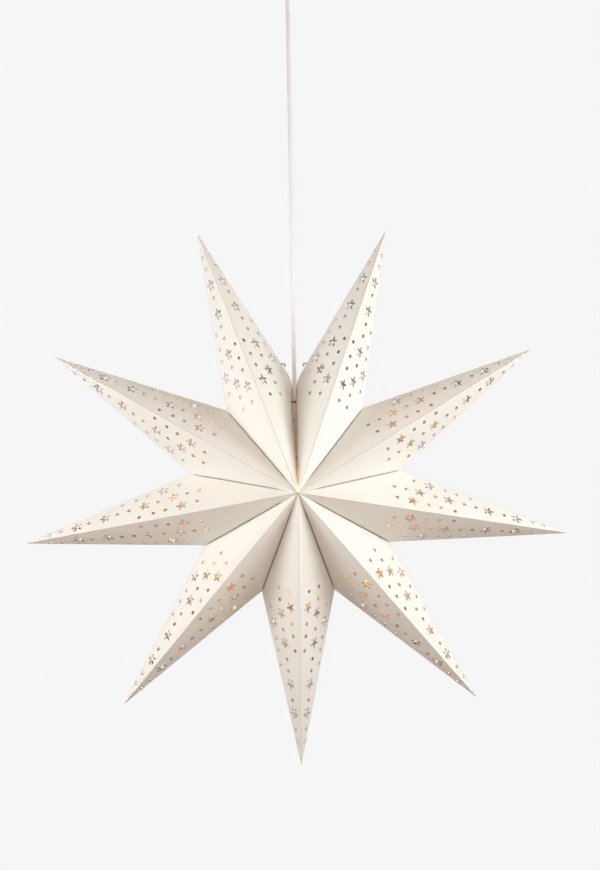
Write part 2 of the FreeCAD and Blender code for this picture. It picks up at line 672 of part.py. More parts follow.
def bail():
    """Wire loop over the hook, whose turned-in feet are the suspension block's pin."""
    low = "pin_level"
    bend = "bail_foot_bend"
    inner = "bail_bend - bail_foot_bend"
    loop = bent_wire("bail_wire", [
        ("bail_foot", low), (inner, low, inner, "pin_level + bail_foot_bend", "ccw"),
        ("bail_bend", "pin_level + " + bend),
        ("bail_bend", "bail_centre", "0", "bail_centre", "ccw"),
        ("0", "bail_top", "0", "bail_centre", "ccw"),
        ("-bail_bend", "bail_centre"),
        ("-bail_bend", "pin_level + " + bend, "-(%s)" % inner, "pin_level + bail_foot_bend", "ccw"),
        ("-(%s)" % inner, low), ("-bail_foot", low)],
        "bail_wire_radius", UPRIGHT_YZ, ("0", "bail_foot", "pin_level"), TURN_Z_TO_Y)
    keep(loop, "bail")


def suspension_block():
    """Moulded block that hangs on the bail and clamps the cord, with its plate and screws."""
    side = make("Sketcher::SketchObject", "block_side", Placement=place("0", "0", "0", UPRIGHT_XZ))
    outline(side, [("-block_radius", "block_bottom"), ("block_radius", "block_bottom"),
                   ("block_radius", "pin_level", "0", "pin_level", "ccw"),
                   ("0", "pin_level + block_radius", "0", "pin_level", "ccw"),
                   ("-block_radius", "pin_level")])
    slab = plate("block_slab", side, "2 * block_half_depth", both_ways=True)
    front = "-block_half_depth"
    tools = [
        rod("pin_bore", "bail_wire_radius + seat_clearance", "2 * block_half_depth",
            ("0", front, "pin_level"), "y"),
        rod("cord_bore", "cord_bore_radius", "cord_top - block_bottom",
            ("0", "0", "block_bottom")),
        box("clamp_recess_space", ("2 * block_radius", "block_half_depth - clamp_recess",
                                   "clamp_middle + clamp_height / 2 + seat_clearance"
                                   " - block_bottom"),
            ("-block_radius", front, "block_bottom"))]
    clamp_screws = []
    terminals = []
    clamp_front = "-clamp_back - clamp_thickness"
    shank = "clamp_thickness + 2 * clamp_back"
    terminal_level = "pin_level - cord_anchor / 2"
    for name, sign in (("right", ""), ("left", "-")):
        across = sign + "clamp_screw_offset"
        tools.append(rod(name + "_clamp_bore", "screw_radius + screw_clearance",
                         "clamp_recess + clamp_back + screw_clearance",
                         (across, "-clamp_recess", "clamp_middle"), "y"))
        clamp_screws.append(screw(name + "_clamp_screw", (across, clamp_front, "clamp_middle"),
                                  "y", shank))
        tools.append(rod(name + "_terminal_pocket", "screw_head_radius + screw_clearance",
                         "screw_head_height + screw_clearance", (across, front, terminal_level),
                         "y"))
        tools.append(rod(name + "_terminal_bore", "screw_radius + screw_clearance",
                         "block_half_depth", (across, front, terminal_level), "y"))
        terminals.append(screw(name + "_block_terminal",
                               (across, front + " + screw_head_height + screw_clearance",
                                terminal_level), "y",
                               "block_half_depth - screw_head_height - 2 * screw_clearance"))
    keep(cut("block_body", slab, tools), "suspension_block")
    blank = box("clamp_blank", ("clamp_width", "clamp_thickness", "clamp_height"),
                ("-clamp_width / 2", clamp_front, "clamp_middle - clamp_height / 2"))
    bores = [rod(name + "_plate_bore", "screw_radius + screw_clearance", "clamp_thickness",
                 (sign + "clamp_screw_offset", clamp_front, "clamp_middle"), "y")
             for name, sign in (("right", ""), ("left", "-"))]
    keep(cut("clamp_strip", blank, bores), "clamp_plate")
    keep(group("clamp_screw_pair", clamp_screws), "clamp_screws")
    keep(group("block_terminal_pair", terminals), "block_terminal_screws")


def ceiling_cup():
    """Tapered cover over the hook, held on the cord by a rubber grommet."""
    rim = "-cup_gap"
    floor = "cup_bottom + cup_wall"
    inside = "cup_radius - cup_wall"
    inner_round = "(cup_round - cup_wall)"
    corner = ("cup_floor_radius + %s * cos(cup_lean)", "cup_round_level - %s * sin(cup_lean)")
    outer_end = [text % "cup_round" for text in corner]
    inner_end = [text % inner_round for text in corner]
    keep(turned("cup_shell", [
        ("grommet_radius", "cup_bottom"),
        ("cup_floor_radius", "cup_bottom", "cup_floor_radius", "cup_round_level", "ccw"),
        outer_end, ("cup_radius", "cup_turn"), ("cup_radius", rim), (inside, rim),
        (inside, "cup_turn + cup_wall * tan(cup_lean / 2)"),
        (*inner_end, "cup_floor_radius", "cup_round_level", "cw"),
        ("cup_floor_radius", floor), ("grommet_radius", floor)], "0"), "ceiling_cup")
    lip = "grommet_radius + grommet_flange"
    keep(turned("cord_grommet", [
        ("cord_bore_radius", "cup_bottom - 2 * grommet_flange"),
        ("grommet_radius", "cup_bottom - 2 * grommet_flange"), (lip, "cup_bottom - grommet_flange"),
        (lip, "cup_bottom"), ("grommet_radius", "cup_bottom"), ("grommet_radius", floor),
        (lip, floor), (lip, floor + " + grommet_flange"),
        ("cord_bore_radius", floor + " + grommet_flange")], "0"), "cup_grommet")


def write_pieces():
    """Check every object, then write one file for each piece."""
    doc.recompute()
    for thing in doc.Objects:
        if "Invalid" in thing.State or "Error" in thing.State:
            raise RuntimeError("%s: %s" % (thing.Name, thing.State))
    for piece in nodes:
        if piece.Shape.isNull() or not piece.Shape.isValid():
            raise RuntimeError("%s has no sound shape" % piece.Label)
    os.makedirs("parts", exist_ok=True)
    for piece in nodes:
        piece.Shape.exportStep("parts/%s.step" % piece.Label)
        print("%-24s %2d solid  %10.1f mm3" % (piece.Label, len(piece.Shape.Solids),
                                               piece.Shape.Volume))


paper_star()
string_ties()
wire_bracket()
lampholder()
lamp()
cord()
ceiling_hook()
bail()
suspension_block()
ceiling_cup()
write_pieces()
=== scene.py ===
import math

import bmesh
import bpy
import numpy as np
from bpy.props import FloatProperty, FloatVectorProperty, IntProperty, PointerProperty
from mathutils import Matrix, Vector
from mathutils.geometry import delaunay_2d_cdt


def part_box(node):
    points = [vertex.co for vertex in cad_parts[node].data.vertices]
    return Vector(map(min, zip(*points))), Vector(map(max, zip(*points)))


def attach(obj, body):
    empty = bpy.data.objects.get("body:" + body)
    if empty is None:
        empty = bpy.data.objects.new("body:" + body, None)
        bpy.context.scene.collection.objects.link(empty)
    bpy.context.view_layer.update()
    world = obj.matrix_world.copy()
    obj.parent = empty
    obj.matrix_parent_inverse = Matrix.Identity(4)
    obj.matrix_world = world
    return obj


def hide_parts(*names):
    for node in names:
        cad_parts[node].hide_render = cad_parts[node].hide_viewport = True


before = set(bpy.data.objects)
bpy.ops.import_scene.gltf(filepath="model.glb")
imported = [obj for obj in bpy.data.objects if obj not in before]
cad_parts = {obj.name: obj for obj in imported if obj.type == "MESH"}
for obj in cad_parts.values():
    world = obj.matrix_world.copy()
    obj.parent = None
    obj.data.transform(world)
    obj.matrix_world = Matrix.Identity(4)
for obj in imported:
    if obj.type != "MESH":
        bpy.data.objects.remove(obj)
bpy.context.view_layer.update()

bl_info = {
    "name": "Paper star pendant",
    "version": (1, 0, 0),
    "blender": (4, 5, 0),
    "location": "3D View > Sidebar > Paper Star",
    "description": "Builds a folded paper star pendant lamp round its packed frame",
    "category": "Object",
}

MM = 0.001
STAR_LEVEL = -650.0  # star's centre, in millimetres from the ceiling
POINT_COUNT = 9


def linear(hex_colour):
    """Linear RGB of an sRGB hex colour such as f4f1ea."""
    shares = [int(hex_colour[i:i + 2], 16) / 255 for i in (0, 2, 4)]
    return [s / 12.92 if s <= 0.04045 else ((s + 0.055) / 1.055) ** 2.4 for s in shares]


# ---- sizes and colours that a user would change -------------------------------------------------

def length_property(name, description, default, least=0.0, most=2.0):
    """A length in metres."""
    return FloatProperty(name=name, description=description, default=default, min=least, max=most,
                         precision=4, subtype="DISTANCE", unit="LENGTH")


def colour_property(name, description, hex_colour):
    """A colour given as sRGB hex."""
    return FloatVectorProperty(name=name, description=description, default=linear(hex_colour),
                               min=0.0, max=1.0, size=3, subtype="COLOR")


class PaperStarSizes(bpy.types.PropertyGroup):
    """Sizes and colours of the folded card star"""
    tip_radius: length_property("Tip radius", "Star's centre to the tip of a point", 0.300)
    valley_radius: length_property("Valley radius", "Centre to the valley between points", 0.116)
    half_depth: length_property("Half depth", "Star's mid-plane to its raised centre", 0.080)
    card: length_property("Card", "Thickness of the card", 0.0004)
    star_hole: length_property("Punched star", "Arm length of the punched stars", 0.0058)
    round_hole: length_property("Punched dot", "Radius of the punched dots", 0.0018)
    crown: length_property("Crown", "How far a panel bows out at its middle", 0.0012)
    lip_round: length_property("Lip round", "Radius of the seam lips' upper corners", 0.012)
    card_colour: colour_property("Card colour", "White card", "f8f7f0")
    # painted shade: the scored folds are drawn greyer, as shade falls in them
    fold_shade_colour: colour_property("Fold colour", "Scored line along a fold", "cfc4b4")
    # painted shade: the dark line in each valley between two points
    valley_shade_colour: colour_property("Glue colour", "Browned glue line in the valleys", "6f5a46")
    # colour of the darker ring drawn round each punched hole
    hole_rim_colour: colour_property("Cut colour", "Punched edges of the holes", "6e5640")
    through_colour: colour_property("Through colour", "Tint of light through the card", "f6e8cc")


class PendantCordSizes(bpy.types.PropertyGroup):
    """Sizes and colour of the suspension cord"""
    thickness: length_property("Thickness", "Outside diameter of the cord", 0.0044)
    top: length_property("Top", "Upper end of the cord, below the ceiling", 0.065788)
    bottom: length_property("Bottom", "Lower end of the cord, below the ceiling", 0.584)
    jacket_colour: colour_property("Jacket colour", "White cord jacket", "f1f0ee")


class LampSizes(bpy.types.PropertyGroup):
    """Light of the lamp inside the star"""
    glow_colour: colour_property("Glow", "Colour of the filaments' light", "ffa030")
    glow_strength: FloatProperty(name="Glow strength", description="Radiance of the filaments",
                                 default=1950.0, min=0.0)
    filament_count: IntProperty(name="Filaments", description="Number of filament strips",
                                default=4, min=1, max=8)


class StudioSizes(bpy.types.PropertyGroup):
    """Backdrop, lights and camera"""
    backdrop_colour: colour_property("Backdrop", "Pale plain background", "f6f6f6")
    floor_level: length_property("Floor level", "Floor below the ceiling", 4.0, most=10.0)
    fill_light: FloatProperty(name="Fill light", description="Backdrop's share of the light",
                              default=0.24, min=0.0, max=1.0)
    fill_colour: colour_property("Fill colour", "Warm light of the room round the star", "ffc586")
    light_colour: colour_property("Light colour", "Daylight of the soft boxes", "f2f9ff")
    side_light: FloatProperty(name="Side light", description="Power that each soft box takes a share of",
                              default=8.1, min=0.0, unit="POWER")
    camera_distance: length_property("Camera distance", "Camera to the star's centre", 2.4,
                                     most=10.0)
    camera_azimuth: FloatProperty(name="Camera azimuth", description="Turn round the star",
                                  default=math.radians(-1.2), unit="ROTATION", subtype="ANGLE")
    camera_height: FloatProperty(name="Camera elevation", description="Angle above the star",
                                 default=math.radians(1.8), unit="ROTATION", subtype="ANGLE")
    camera_roll: FloatProperty(name="Camera roll", description="Lean of the picture",
                               default=math.radians(-1.05), unit="ROTATION", subtype="ANGLE")


# ---- surfaces ------------------------------------------------------------------------------------

def grid_faces(rows, columns, close_rows=False, close_columns=False):
    """Quads of a rows x columns grid of points numbered row by row, wrapped where asked."""
    i = np.arange(rows if close_rows else rows - 1)[:, None]
    j = np.arange(columns if close_columns else columns - 1)[None, :]
    below, right = (i + 1) % rows, (j + 1) % columns
    quads = np.stack([i * columns + j, i * columns + right,
                      below * columns + right, below * columns + j], axis=-1)
    return quads.reshape(-1, 4)


def lathe(profile, sides=64, ripple=None):
    """Closed profile of (radius, height) points turned round Z.

    Point (i, j) is (r_i cos a_j, r_i sin a_j, z_i), with a_j = 2 pi j / sides; ripple(r, z, a)
    is added to the radius."""
    profile = np.asarray(profile, float)
    angle = np.arange(sides) * 2 * math.pi / sides
    r, z, a = np.broadcast_arrays(profile[:, :1], profile[:, 1:], angle[None, :])
    if ripple is not None:
        r = r + ripple(r, z, a)
    points = np.stack([r * np.cos(a), r * np.sin(a), z], axis=-1).reshape(-1, 3)
    return points, grid_faces(len(profile), sides, close_rows=True, close_columns=True)


def rounded(corners, radius, steps=4):
    """Closed outline with each corner replaced by a curve.

    Corner C becomes (1-t)^2 A + 2t(1-t) C + t^2 B, where A and B stand radius from C along its
    two sides, but never past 0.4 of a side; one on the axis stays."""
    c = np.asarray(corners, float)
    before, after = np.roll(c, 1, axis=0) - c, np.roll(c, -1, axis=0) - c
    long_before = np.linalg.norm(before, axis=1, keepdims=True)
    long_after = np.linalg.norm(after, axis=1, keepdims=True)
    a = c + before / long_before * np.minimum(radius, 0.4 * long_before)
    b = c + after / long_after * np.minimum(radius, 0.4 * long_after)
    on_axis = np.abs(c[:, :1]) < 1e-9
    a, b = np.where(on_axis, c, a), np.where(on_axis, c, b)
    t = np.linspace(0, 1, steps + 1)[None, :, None]
    curve = (1 - t) ** 2 * a[:, None] + 2 * t * (1 - t) * c[:, None] + t ** 2 * b[:, None]
    return curve.reshape(-1, 2)


def divided(outline, step):
    """Closed outline with points added so that no side is longer than step."""
    outline = np.asarray(outline, float)
    sides = np.roll(outline, -1, axis=0) - outline
    counts = np.maximum(1, np.ceil(np.linalg.norm(sides, axis=1) / step).astype(int))
    return np.concatenate([start + side * np.arange(count)[:, None] / count
                           for start, side, count in zip(outline, sides, counts)])


def arc(x, y, radius, start, end, count=14):
    """Points (x + radius cos a, y + radius sin a), with a from start to end in degrees."""
    a = np.radians(np.linspace(start, end, count))
    return np.stack([x + radius * np.cos(a), y + radius * np.sin(a)], axis=-1)


def tube(path, radius, sides=20, across=(0, 1, 0), ends=5):
    """Round bar along path with domed ends.

    Point (i, j) is p_i + r_i (cos a_j n_i + sin a_j b_i), where b_i is across made square to the
    path, n_i is square to both, and r_i falls to 0 over the dome as radius sqrt(1 - x^2)."""
    path = np.asarray(path, float)
    first = (path[1] - path[0]) / np.linalg.norm(path[1] - path[0])
    last = (path[-1] - path[-2]) / np.linalg.norm(path[-1] - path[-2])
    x = np.sin(np.linspace(math.pi / 2, 0, ends))[:-1, None]
    start, end = path[:1] + first * radius, path[-1:] - last * radius
    path = np.concatenate([start - first * radius * x, path[1:-1],
                           end + last * radius * x[::-1]])
    reach = np.full(len(path), float(radius))
    dome = radius * np.sqrt(np.maximum(0, 1 - x[:, 0] ** 2))
    reach[:len(dome)], reach[-len(dome):] = dome, dome[::-1]
    tangent = np.gradient(path, axis=0)
    tangent /= np.linalg.norm(tangent, axis=1, keepdims=True)
    across = np.asarray(across, float)[None, :]
    b = across - tangent * (tangent @ across.T)
    b /= np.linalg.norm(b, axis=1, keepdims=True)
    n = np.cross(b, tangent)
    a = np.arange(sides)[None, :, None] * 2 * math.pi / sides
    ring = np.cos(a) * n[:, None] + np.sin(a) * b[:, None]
    points = path[:, None] + reach[:, None, None] * ring
    return points.reshape(-1, 3), grid_faces(len(path), sides, close_columns=True)


def stacked(parts):
    """Several (points, faces of any size) as one, with the faces renumbered."""
    points, faces, first = [], [], 0
    for some_points, some_faces in parts:
        points.append(some_points)
        faces += [[corner + first for corner in face] for face in some_faces]
        first += len(some_points)
    return np.concatenate(points), faces


def closed_mesh(name, shape, finish, crease=35.0, uv=None, doubles=2e-7):
    """Mesh of a shape in millimetres: points nearer than doubles, in metres, merged, faces turned
    outwards, and edges sharp where they turn by more than crease degrees."""
    points, faces = shape
    mesh = bpy.data.meshes.new(name)
    faces = faces if isinstance(faces, list) else faces.tolist()
    mesh.from_pydata((points * MM).tolist(), [], faces)
    if uv is not None:
        corners = np.empty(len(mesh.loops), dtype=np.int32)
        mesh.loops.foreach_get("vertex_index", corners)
        for layer_name, values in uv.items():
            layer = mesh.uv_layers.new(name=layer_name)
            layer.data.foreach_set("uv", values[corners].astype(np.float32).ravel())
    work = bmesh.new()
    work.from_mesh(mesh)
    bmesh.ops.remove_doubles(work, verts=work.verts, dist=doubles)
    bmesh.ops.recalc_face_normals(work, faces=work.faces)
    work.to_mesh(mesh)
    work.free()
    mesh.shade_smooth()
    mesh.set_sharp_from_angle(angle=math.radians(crease))
    mesh.materials.append(finish)
    return mesh


def new_object(name, data):
    """Object in the scene for a mesh, a curve, a light or a camera."""
    made = bpy.data.objects.new(name, data)
    bpy.context.scene.collection.objects.link(made)
    return made


def new_piece(name, shape, finish, body, node, level=0.0, crease=35.0, uv=None):
    """One finished piece, lifted by level millimetres, that rides on body and stands for node."""
    points, faces = shape
    lifted = points + np.array([0.0, 0.0, level])
    piece = new_object(name, closed_mesh(name, (lifted, faces), finish, crease, uv))
    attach(piece, body)
    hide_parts(node)


def turned_piece(name, outline, rounding, sides, finish, body, node, step=math.inf,
                 ripple=None, level=STAR_LEVEL):
    """Piece turned round the lamp's axis from an outline with rounded corners, with points added so
    that no side of it is longer than step."""
    profile = divided(rounded(outline, rounding), step)
    new_piece(name, lathe(profile, sides, ripple), finish, body, node, level)


# ---- finishes ------------------------------------------------------------------------------------

def add_node(tree, kind, sockets=None, **settings):
    """One shader node with its settings; a socket takes a number, a colour or another's output."""
    node = tree.nodes.new(kind)
    for name, value in settings.items():
        setattr(node, name, value)
    for socket, value in (sockets or {}).items():
        if isinstance(value, bpy.types.NodeSocket):
            tree.links.new(value, node.inputs[socket])
        else:
            node.inputs[socket].default_value = value
    return node


def new_material(name):
    """Material whose only node yet gives the place on the piece, in metres."""
    material = bpy.data.materials.new(name)
    material.use_nodes = True
    tree = material.node_tree
    tree.nodes.clear()
    return material, tree, add_node(tree, "ShaderNodeTexCoord").outputs["Object"]


def rgba(colour):
    """Colour with its alpha."""
    return (*colour, 1.0)


def shaded(hex_colour, share):
    """Linear colour scaled by share."""
    return rgba([min(1.0, s * share) for s in linear(hex_colour)])


# name: (colour, metallic, roughness, IOR, grain in mm, contrast, bump in mm)
FINISHES = {
    # cold-drawn wire with bright zinc: cool grey, a little streaky
    "zinc_plated_wire": ("b9bcc0", 1.0, 0.30, 1.5, 2.5, 0.10, 0.010),
    # injection-moulded ABS, fine spark-eroded grain, satin
    "moulded_white_abs": ("efeeea", 0.0, 0.42, 1.53, 0.7, 0.02, 0.012),
    # larger ABS cover from a polished mould, faint flow variation
    "polished_white_abs": ("f3f2ef", 0.0, 0.28, 1.53, 9.0, 0.02, 0.004),
    # glazed steatite: off-white, glassy with faint specks
    "glazed_steatite": ("ebe6da", 0.0, 0.22, 1.52, 0.5, 0.06, 0.008),
    # turned brass, warm, with a slight tarnish
    "turned_brass": ("c9a25a", 1.0, 0.28, 1.5, 1.2, 0.14, 0.006),
    # deep-drawn and nickel-plated thread shell
    "nickel_plated_shell": ("c4c0b8", 1.0, 0.24, 1.5, 1.6, 0.10, 0.008),
    # solder dome on the lamp's end contact
    "tin_solder": ("a9abad", 1.0, 0.38, 1.5, 0.8, 0.18, 0.020),
    # flexible PVC round a lead
    "pvc_lead": ("e8e6df", 0.0, 0.50, 1.53, 1.0, 0.03, 0.010),
    # hot-dip galvanised steel: mottled spangle
    "galvanised_steel": ("a7abad", 1.0, 0.42, 1.5, 4.0, 0.22, 0.012),
    # zinc-plated screw steel
    "zinc_plated_screw": ("bdbfc1", 1.0, 0.34, 1.5, 0.9, 0.12, 0.008),
    # moulded EPDM rubber: soft, nearly matt
    "epdm_rubber": ("dcdad4", 0.0, 0.72, 1.52, 0.9, 0.05, 0.020),
    # waxed linen thread, dark
    "waxed_linen_thread": ("6b5440", 0.0, 0.62, 1.5, 0.35, 0.30, 0.060),
    # pressed glass stem inside the lamp
    "pressed_stem_glass": ("dfe6e4", 0.0, 0.08, 1.52, 3.0, 0.05, 0.004),
}


def surface_finish(name):
    """Finish of FINISHES: noise of the grain's size moves colour, roughness and height a little."""
    if name in bpy.data.materials:
        return bpy.data.materials[name]
    colour, metallic, roughness, ior, grain, contrast, bump = FINISHES[name]
    material, tree, place = new_material(name)
    noise = add_node(tree, "ShaderNodeTexNoise", {
        "Vector": place, "Scale": 1 / (grain * MM), "Detail": 3.0, "Roughness": 0.55})
    tone = add_node(tree, "ShaderNodeMix", {
        "Factor": noise.outputs["Fac"], "A": shaded(colour, 1 - contrast),
        "B": shaded(colour, 1 + contrast)}, data_type="RGBA")
    polish = add_node(tree, "ShaderNodeMapRange", {
        "Value": noise.outputs["Fac"], "To Min": roughness * 0.85, "To Max": roughness * 1.15})
    relief = add_node(tree, "ShaderNodeBump", {
        "Height": noise.outputs["Fac"], "Strength": 0.6, "Distance": bump * MM})
    body = add_node(tree, "ShaderNodeBsdfPrincipled", {
        "Base Color": tone.outputs["Result"], "Roughness": polish.outputs["Result"],
        "Normal": relief.outputs["Normal"], "Metallic": metallic, "IOR": ior})
    add_node(tree, "ShaderNodeOutputMaterial", {"Surface": body.outputs["BSDF"]})
    return material


def card_finish():
    """White uncoated card, about 300 g: matt and faintly mottled, with painted shade in its scored folds
    and in the glued valleys between two points, a darker ring round its holes, and thin enough for the
    lamp to tint it."""
    sizes = bpy.context.scene.paper_star
    material, tree, place = new_material("white_uncoated_card")
    folds = add_node(tree, "ShaderNodeUVMap", uv_map="FoldDistance").outputs["UV"]
    from_fold = add_node(tree, "ShaderNodeSeparateXYZ", {"Vector": folds})
    nearest = add_node(tree, "ShaderNodeMath", {
        0: from_fold.outputs["X"], 1: from_fold.outputs["Y"]}, operation="MINIMUM")
    # painted shade along the scored folds: greyer within 0.7 mm of a ridge or outer fold
    crease = add_node(tree, "ShaderNodeMapRange", {
        "Value": nearest.outputs["Value"], "From Min": 0.15, "From Max": 0.7, "To Min": 0.8,
        "To Max": 0.0})
    edges = add_node(tree, "ShaderNodeUVMap", uv_map="EdgeDistance").outputs["UV"]
    from_edge = add_node(tree, "ShaderNodeSeparateXYZ", {"Vector": edges})
    # a darker brown ring round each hole, fading out over 0.55 mm from its edge
    cut = add_node(tree, "ShaderNodeMapRange", {
        "Value": from_edge.outputs["X"], "From Min": 0.05, "From Max": 0.55, "To Min": 0.85,
        "To Max": 0.0})
    # pulp clouds about 18 mm across and fibres about 0.6 mm long
    clouds = add_node(tree, "ShaderNodeTexNoise", {
        "Vector": place, "Scale": 1 / (18 * MM), "Detail": 2.0, "Roughness": 0.5})
    fibres = add_node(tree, "ShaderNodeTexNoise", {
        "Vector": place, "Scale": 1 / (0.6 * MM), "Detail": 3.0, "Roughness": 0.65})
    # painted shade in the glued valleys: up to about a millimetre wide, and wider towards the lower
    # points, whose valleys lie in deeper shade
    height = add_node(tree, "ShaderNodeSeparateXYZ", {"Vector": place}).outputs["Z"]
    reach = add_node(tree, "ShaderNodeMapRange", {
        "Value": height, "From Min": (STAR_LEVEL - 110) * MM, "From Max": (STAR_LEVEL + 10) * MM,
        "To Min": 0.9, "To Max": 0.12})
    # mask of the painted valley shade; it also lets less light through the glued double layer
    glued_valley_shade = add_node(tree, "ShaderNodeMapRange", {
        "Value": from_edge.outputs["Y"], "From Min": 0.05, "From Max": reach.outputs["Result"],
        "To Min": 0.85, "To Max": 0.0})
    card = sizes.card_colour
    tone = add_node(tree, "ShaderNodeMix", {
        "Factor": clouds.outputs["Fac"], "A": rgba([c * 0.975 for c in card]), "B": rgba(card)},
        data_type="RGBA")
    # mixes in the painted fold shade, the darker hole rims and the painted valley shade
    for share, colour in ((crease, sizes.fold_shade_colour), (cut, sizes.hole_rim_colour),
                          (glued_valley_shade, sizes.valley_shade_colour)):
        tone = add_node(tree, "ShaderNodeMix", {
            "Factor": share.outputs["Result"], "A": tone.outputs["Result"], "B": rgba(colour)},
            data_type="RGBA")
    relief = add_node(tree, "ShaderNodeBump", {
        "Height": fibres.outputs["Fac"], "Strength": 0.35, "Distance": 0.03 * MM})
    front = add_node(tree, "ShaderNodeBsdfPrincipled", {
        "Base Color": tone.outputs["Result"], "Roughness": 0.72, "IOR": 1.5,
        "Specular IOR Level": 0.35, "Normal": relief.outputs["Normal"]})
    through = add_node(tree, "ShaderNodeBsdfTranslucent", {"Color": rgba(sizes.through_colour)})
    # glued strips are two layers thick, so less comes through them
    share = add_node(tree, "ShaderNodeMapRange", {
        "Value": glued_valley_shade.outputs["Result"], "To Min": 0.07, "To Max": 0.02})
    both = add_node(tree, "ShaderNodeMixShader", {
        0: share.outputs["Result"], 1: front.outputs["BSDF"], 2: through.outputs["BSDF"]})
    add_node(tree, "ShaderNodeOutputMaterial", {"Surface": both.outputs["Shader"]})
    return material


def cord_finish():
    """White PVC cord jacket: extruded, satin, with the faint lay of the cores showing through."""
    material, tree, place = new_material("extruded_pvc_cord_jacket")
    lay = add_node(tree, "ShaderNodeTexNoise", {
        "Vector": place, "Scale": 1 / (3.0 * MM), "Detail": 1.5, "Roughness": 0.4})
    colour = bpy.context.scene.pendant_cord.jacket_colour
    tone = add_node(tree, "ShaderNodeMix", {
        "Factor": lay.outputs["Fac"], "A": rgba([c * 0.96 for c in colour]), "B": rgba(colour)},
        data_type="RGBA")
    relief = add_node(tree, "ShaderNodeBump", {
        "Height": lay.outputs["Fac"], "Strength": 0.4, "Distance": 0.05 * MM})
    jacket = add_node(tree, "ShaderNodeBsdfPrincipled", {
        "Base Color": tone.outputs["Result"], "Roughness": 0.38, "IOR": 1.53,
        "Normal": relief.outputs["Normal"]})
    add_node(tree, "ShaderNodeOutputMaterial", {"Surface": jacket.outputs["BSDF"]})
    return material


def lamp_glass_finish():
    """Blown soda-lime glass with a faint amber tint: thin, so it mostly lets light straight on."""
    material, tree, place = new_material("amber_blown_glass")
    streak = add_node(tree, "ShaderNodeTexNoise", {
        "Vector": place, "Scale": 1 / (22 * MM), "Detail": 1.0})
    tone = add_node(tree, "ShaderNodeMix", {
        "Factor": streak.outputs["Fac"], "A": shaded("f3d9a8", 1), "B": shaded("fbe7c2", 1)},
        data_type="RGBA")
    glass = add_node(tree, "ShaderNodeBsdfPrincipled", {
        "Base Color": tone.outputs["Result"], "Roughness": 0.04, "IOR": 1.52, "Alpha": 0.16})
    add_node(tree, "ShaderNodeOutputMaterial", {"Surface": glass.outputs["BSDF"]})
    return material


def filament_finish():
    """LED filament: yellow phosphor in silicone, glowing warm and a little unevenly."""
    sizes = bpy.context.scene.pendant_lamp
    material, tree, place = new_material("led_filament_phosphor")
    dies = add_node(tree, "ShaderNodeTexNoise", {
        "Vector": place, "Scale": 1 / (1.2 * MM), "Detail": 1.0})
    tone = add_node(tree, "ShaderNodeMix", {
        "Factor": dies.outputs["Fac"], "A": shaded("e8a33a", 1), "B": shaded("ffd27a", 1)},
        data_type="RGBA")
    strip = add_node(tree, "ShaderNodeBsdfPrincipled", {
        "Base Color": tone.outputs["Result"], "Roughness": 0.55, "IOR": 1.41,
        "Emission Color": rgba(sizes.glow_colour), "Emission Strength": sizes.glow_strength})
    add_node(tree, "ShaderNodeOutputMaterial", {"Surface": strip.outputs["BSDF"]})
    return material


def floor_finish():
    """Pale matt studio floor paint with a faint roller texture, as bright as the backdrop to the
    camera and dim to the star."""
    material, tree, place = new_material("matt_floor_paint")
    roller = add_node(tree, "ShaderNodeTexNoise", {
        "Vector": place, "Scale": 1 / (400 * MM), "Detail": 2.0})
    tone = add_node(tree, "ShaderNodeMix", {
        "Factor": roller.outputs["Fac"], "A": shaded("ebebeb", 1), "B": shaded("efefef", 1)},
        data_type="RGBA")
    paint = add_node(tree, "ShaderNodeBsdfPrincipled", {
        "Base Color": tone.outputs["Result"], "Roughness": 0.85})
    seen = add_node(tree, "ShaderNodeEmission", {"Color": tone.outputs["Result"], "Strength": 1.08})
    either = add_node(tree, "ShaderNodeMixShader", {
        0: add_node(tree, "ShaderNodeLightPath").outputs["Is Camera Ray"],
        1: paint.outputs["BSDF"], 2: seen.outputs["Emission"]})
    add_node(tree, "ShaderNodeOutputMaterial", {"Surface": either.outputs["Shader"]})
    return material


def dress_nodes(finishes):
    """Gives carried-over CAD nodes their real finishes, from {node: name of finish}."""
    for node, name in finishes.items():
        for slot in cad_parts[node].material_slots:
            slot.material = surface_finish(name)


# ---- the paper star --------------------------------------------------------------------------------

# Middles of the holes in a panel, as shares of its sides: along the ridge, then along the outer
# fold, both from the tip.
PUNCHED_STARS = np.array([(0.449, 0.213), (0.269, 0.459), (0.093, 0.681),
                          (0.213, 0.375), (0.144, 0.246), (0.087, 0.169)])
PUNCHED_DOTS = np.array([(0.319, 0.530), (0.480, 0.255), (0.294, 0.499), (0.102, 0.760),
                         (0.411, 0.178), (0.238, 0.414), (0.382, 0.153), (0.072, 0.621),
                         (0.352, 0.116), (0.065, 0.564), (0.183, 0.329), (0.047, 0.509),
                         (0.161, 0.295), (0.107, 0.210), (0.046, 0.137), (0.023, 0.105)])
STAR_ARMS = 5
DOT_SIDES = 12
STAR_WAIST = 0.34  # inner corners of a punched star, as a share of its arms
ARM_END = math.radians(5.5)  # half the angle that the blunt end of a star's arm spans
HOLE_RIM = 0.6  # width of the darker ring round a hole, in millimetres
SEAM_LEAN = math.radians(0.8)  # each lip of the top seam stands this far off the mid-plane
FLAP_WIDTH = 10.0  # of a glued strip, down from the valley
FLAP_END = 14.0  # a glued strip starts this far from the star's centre
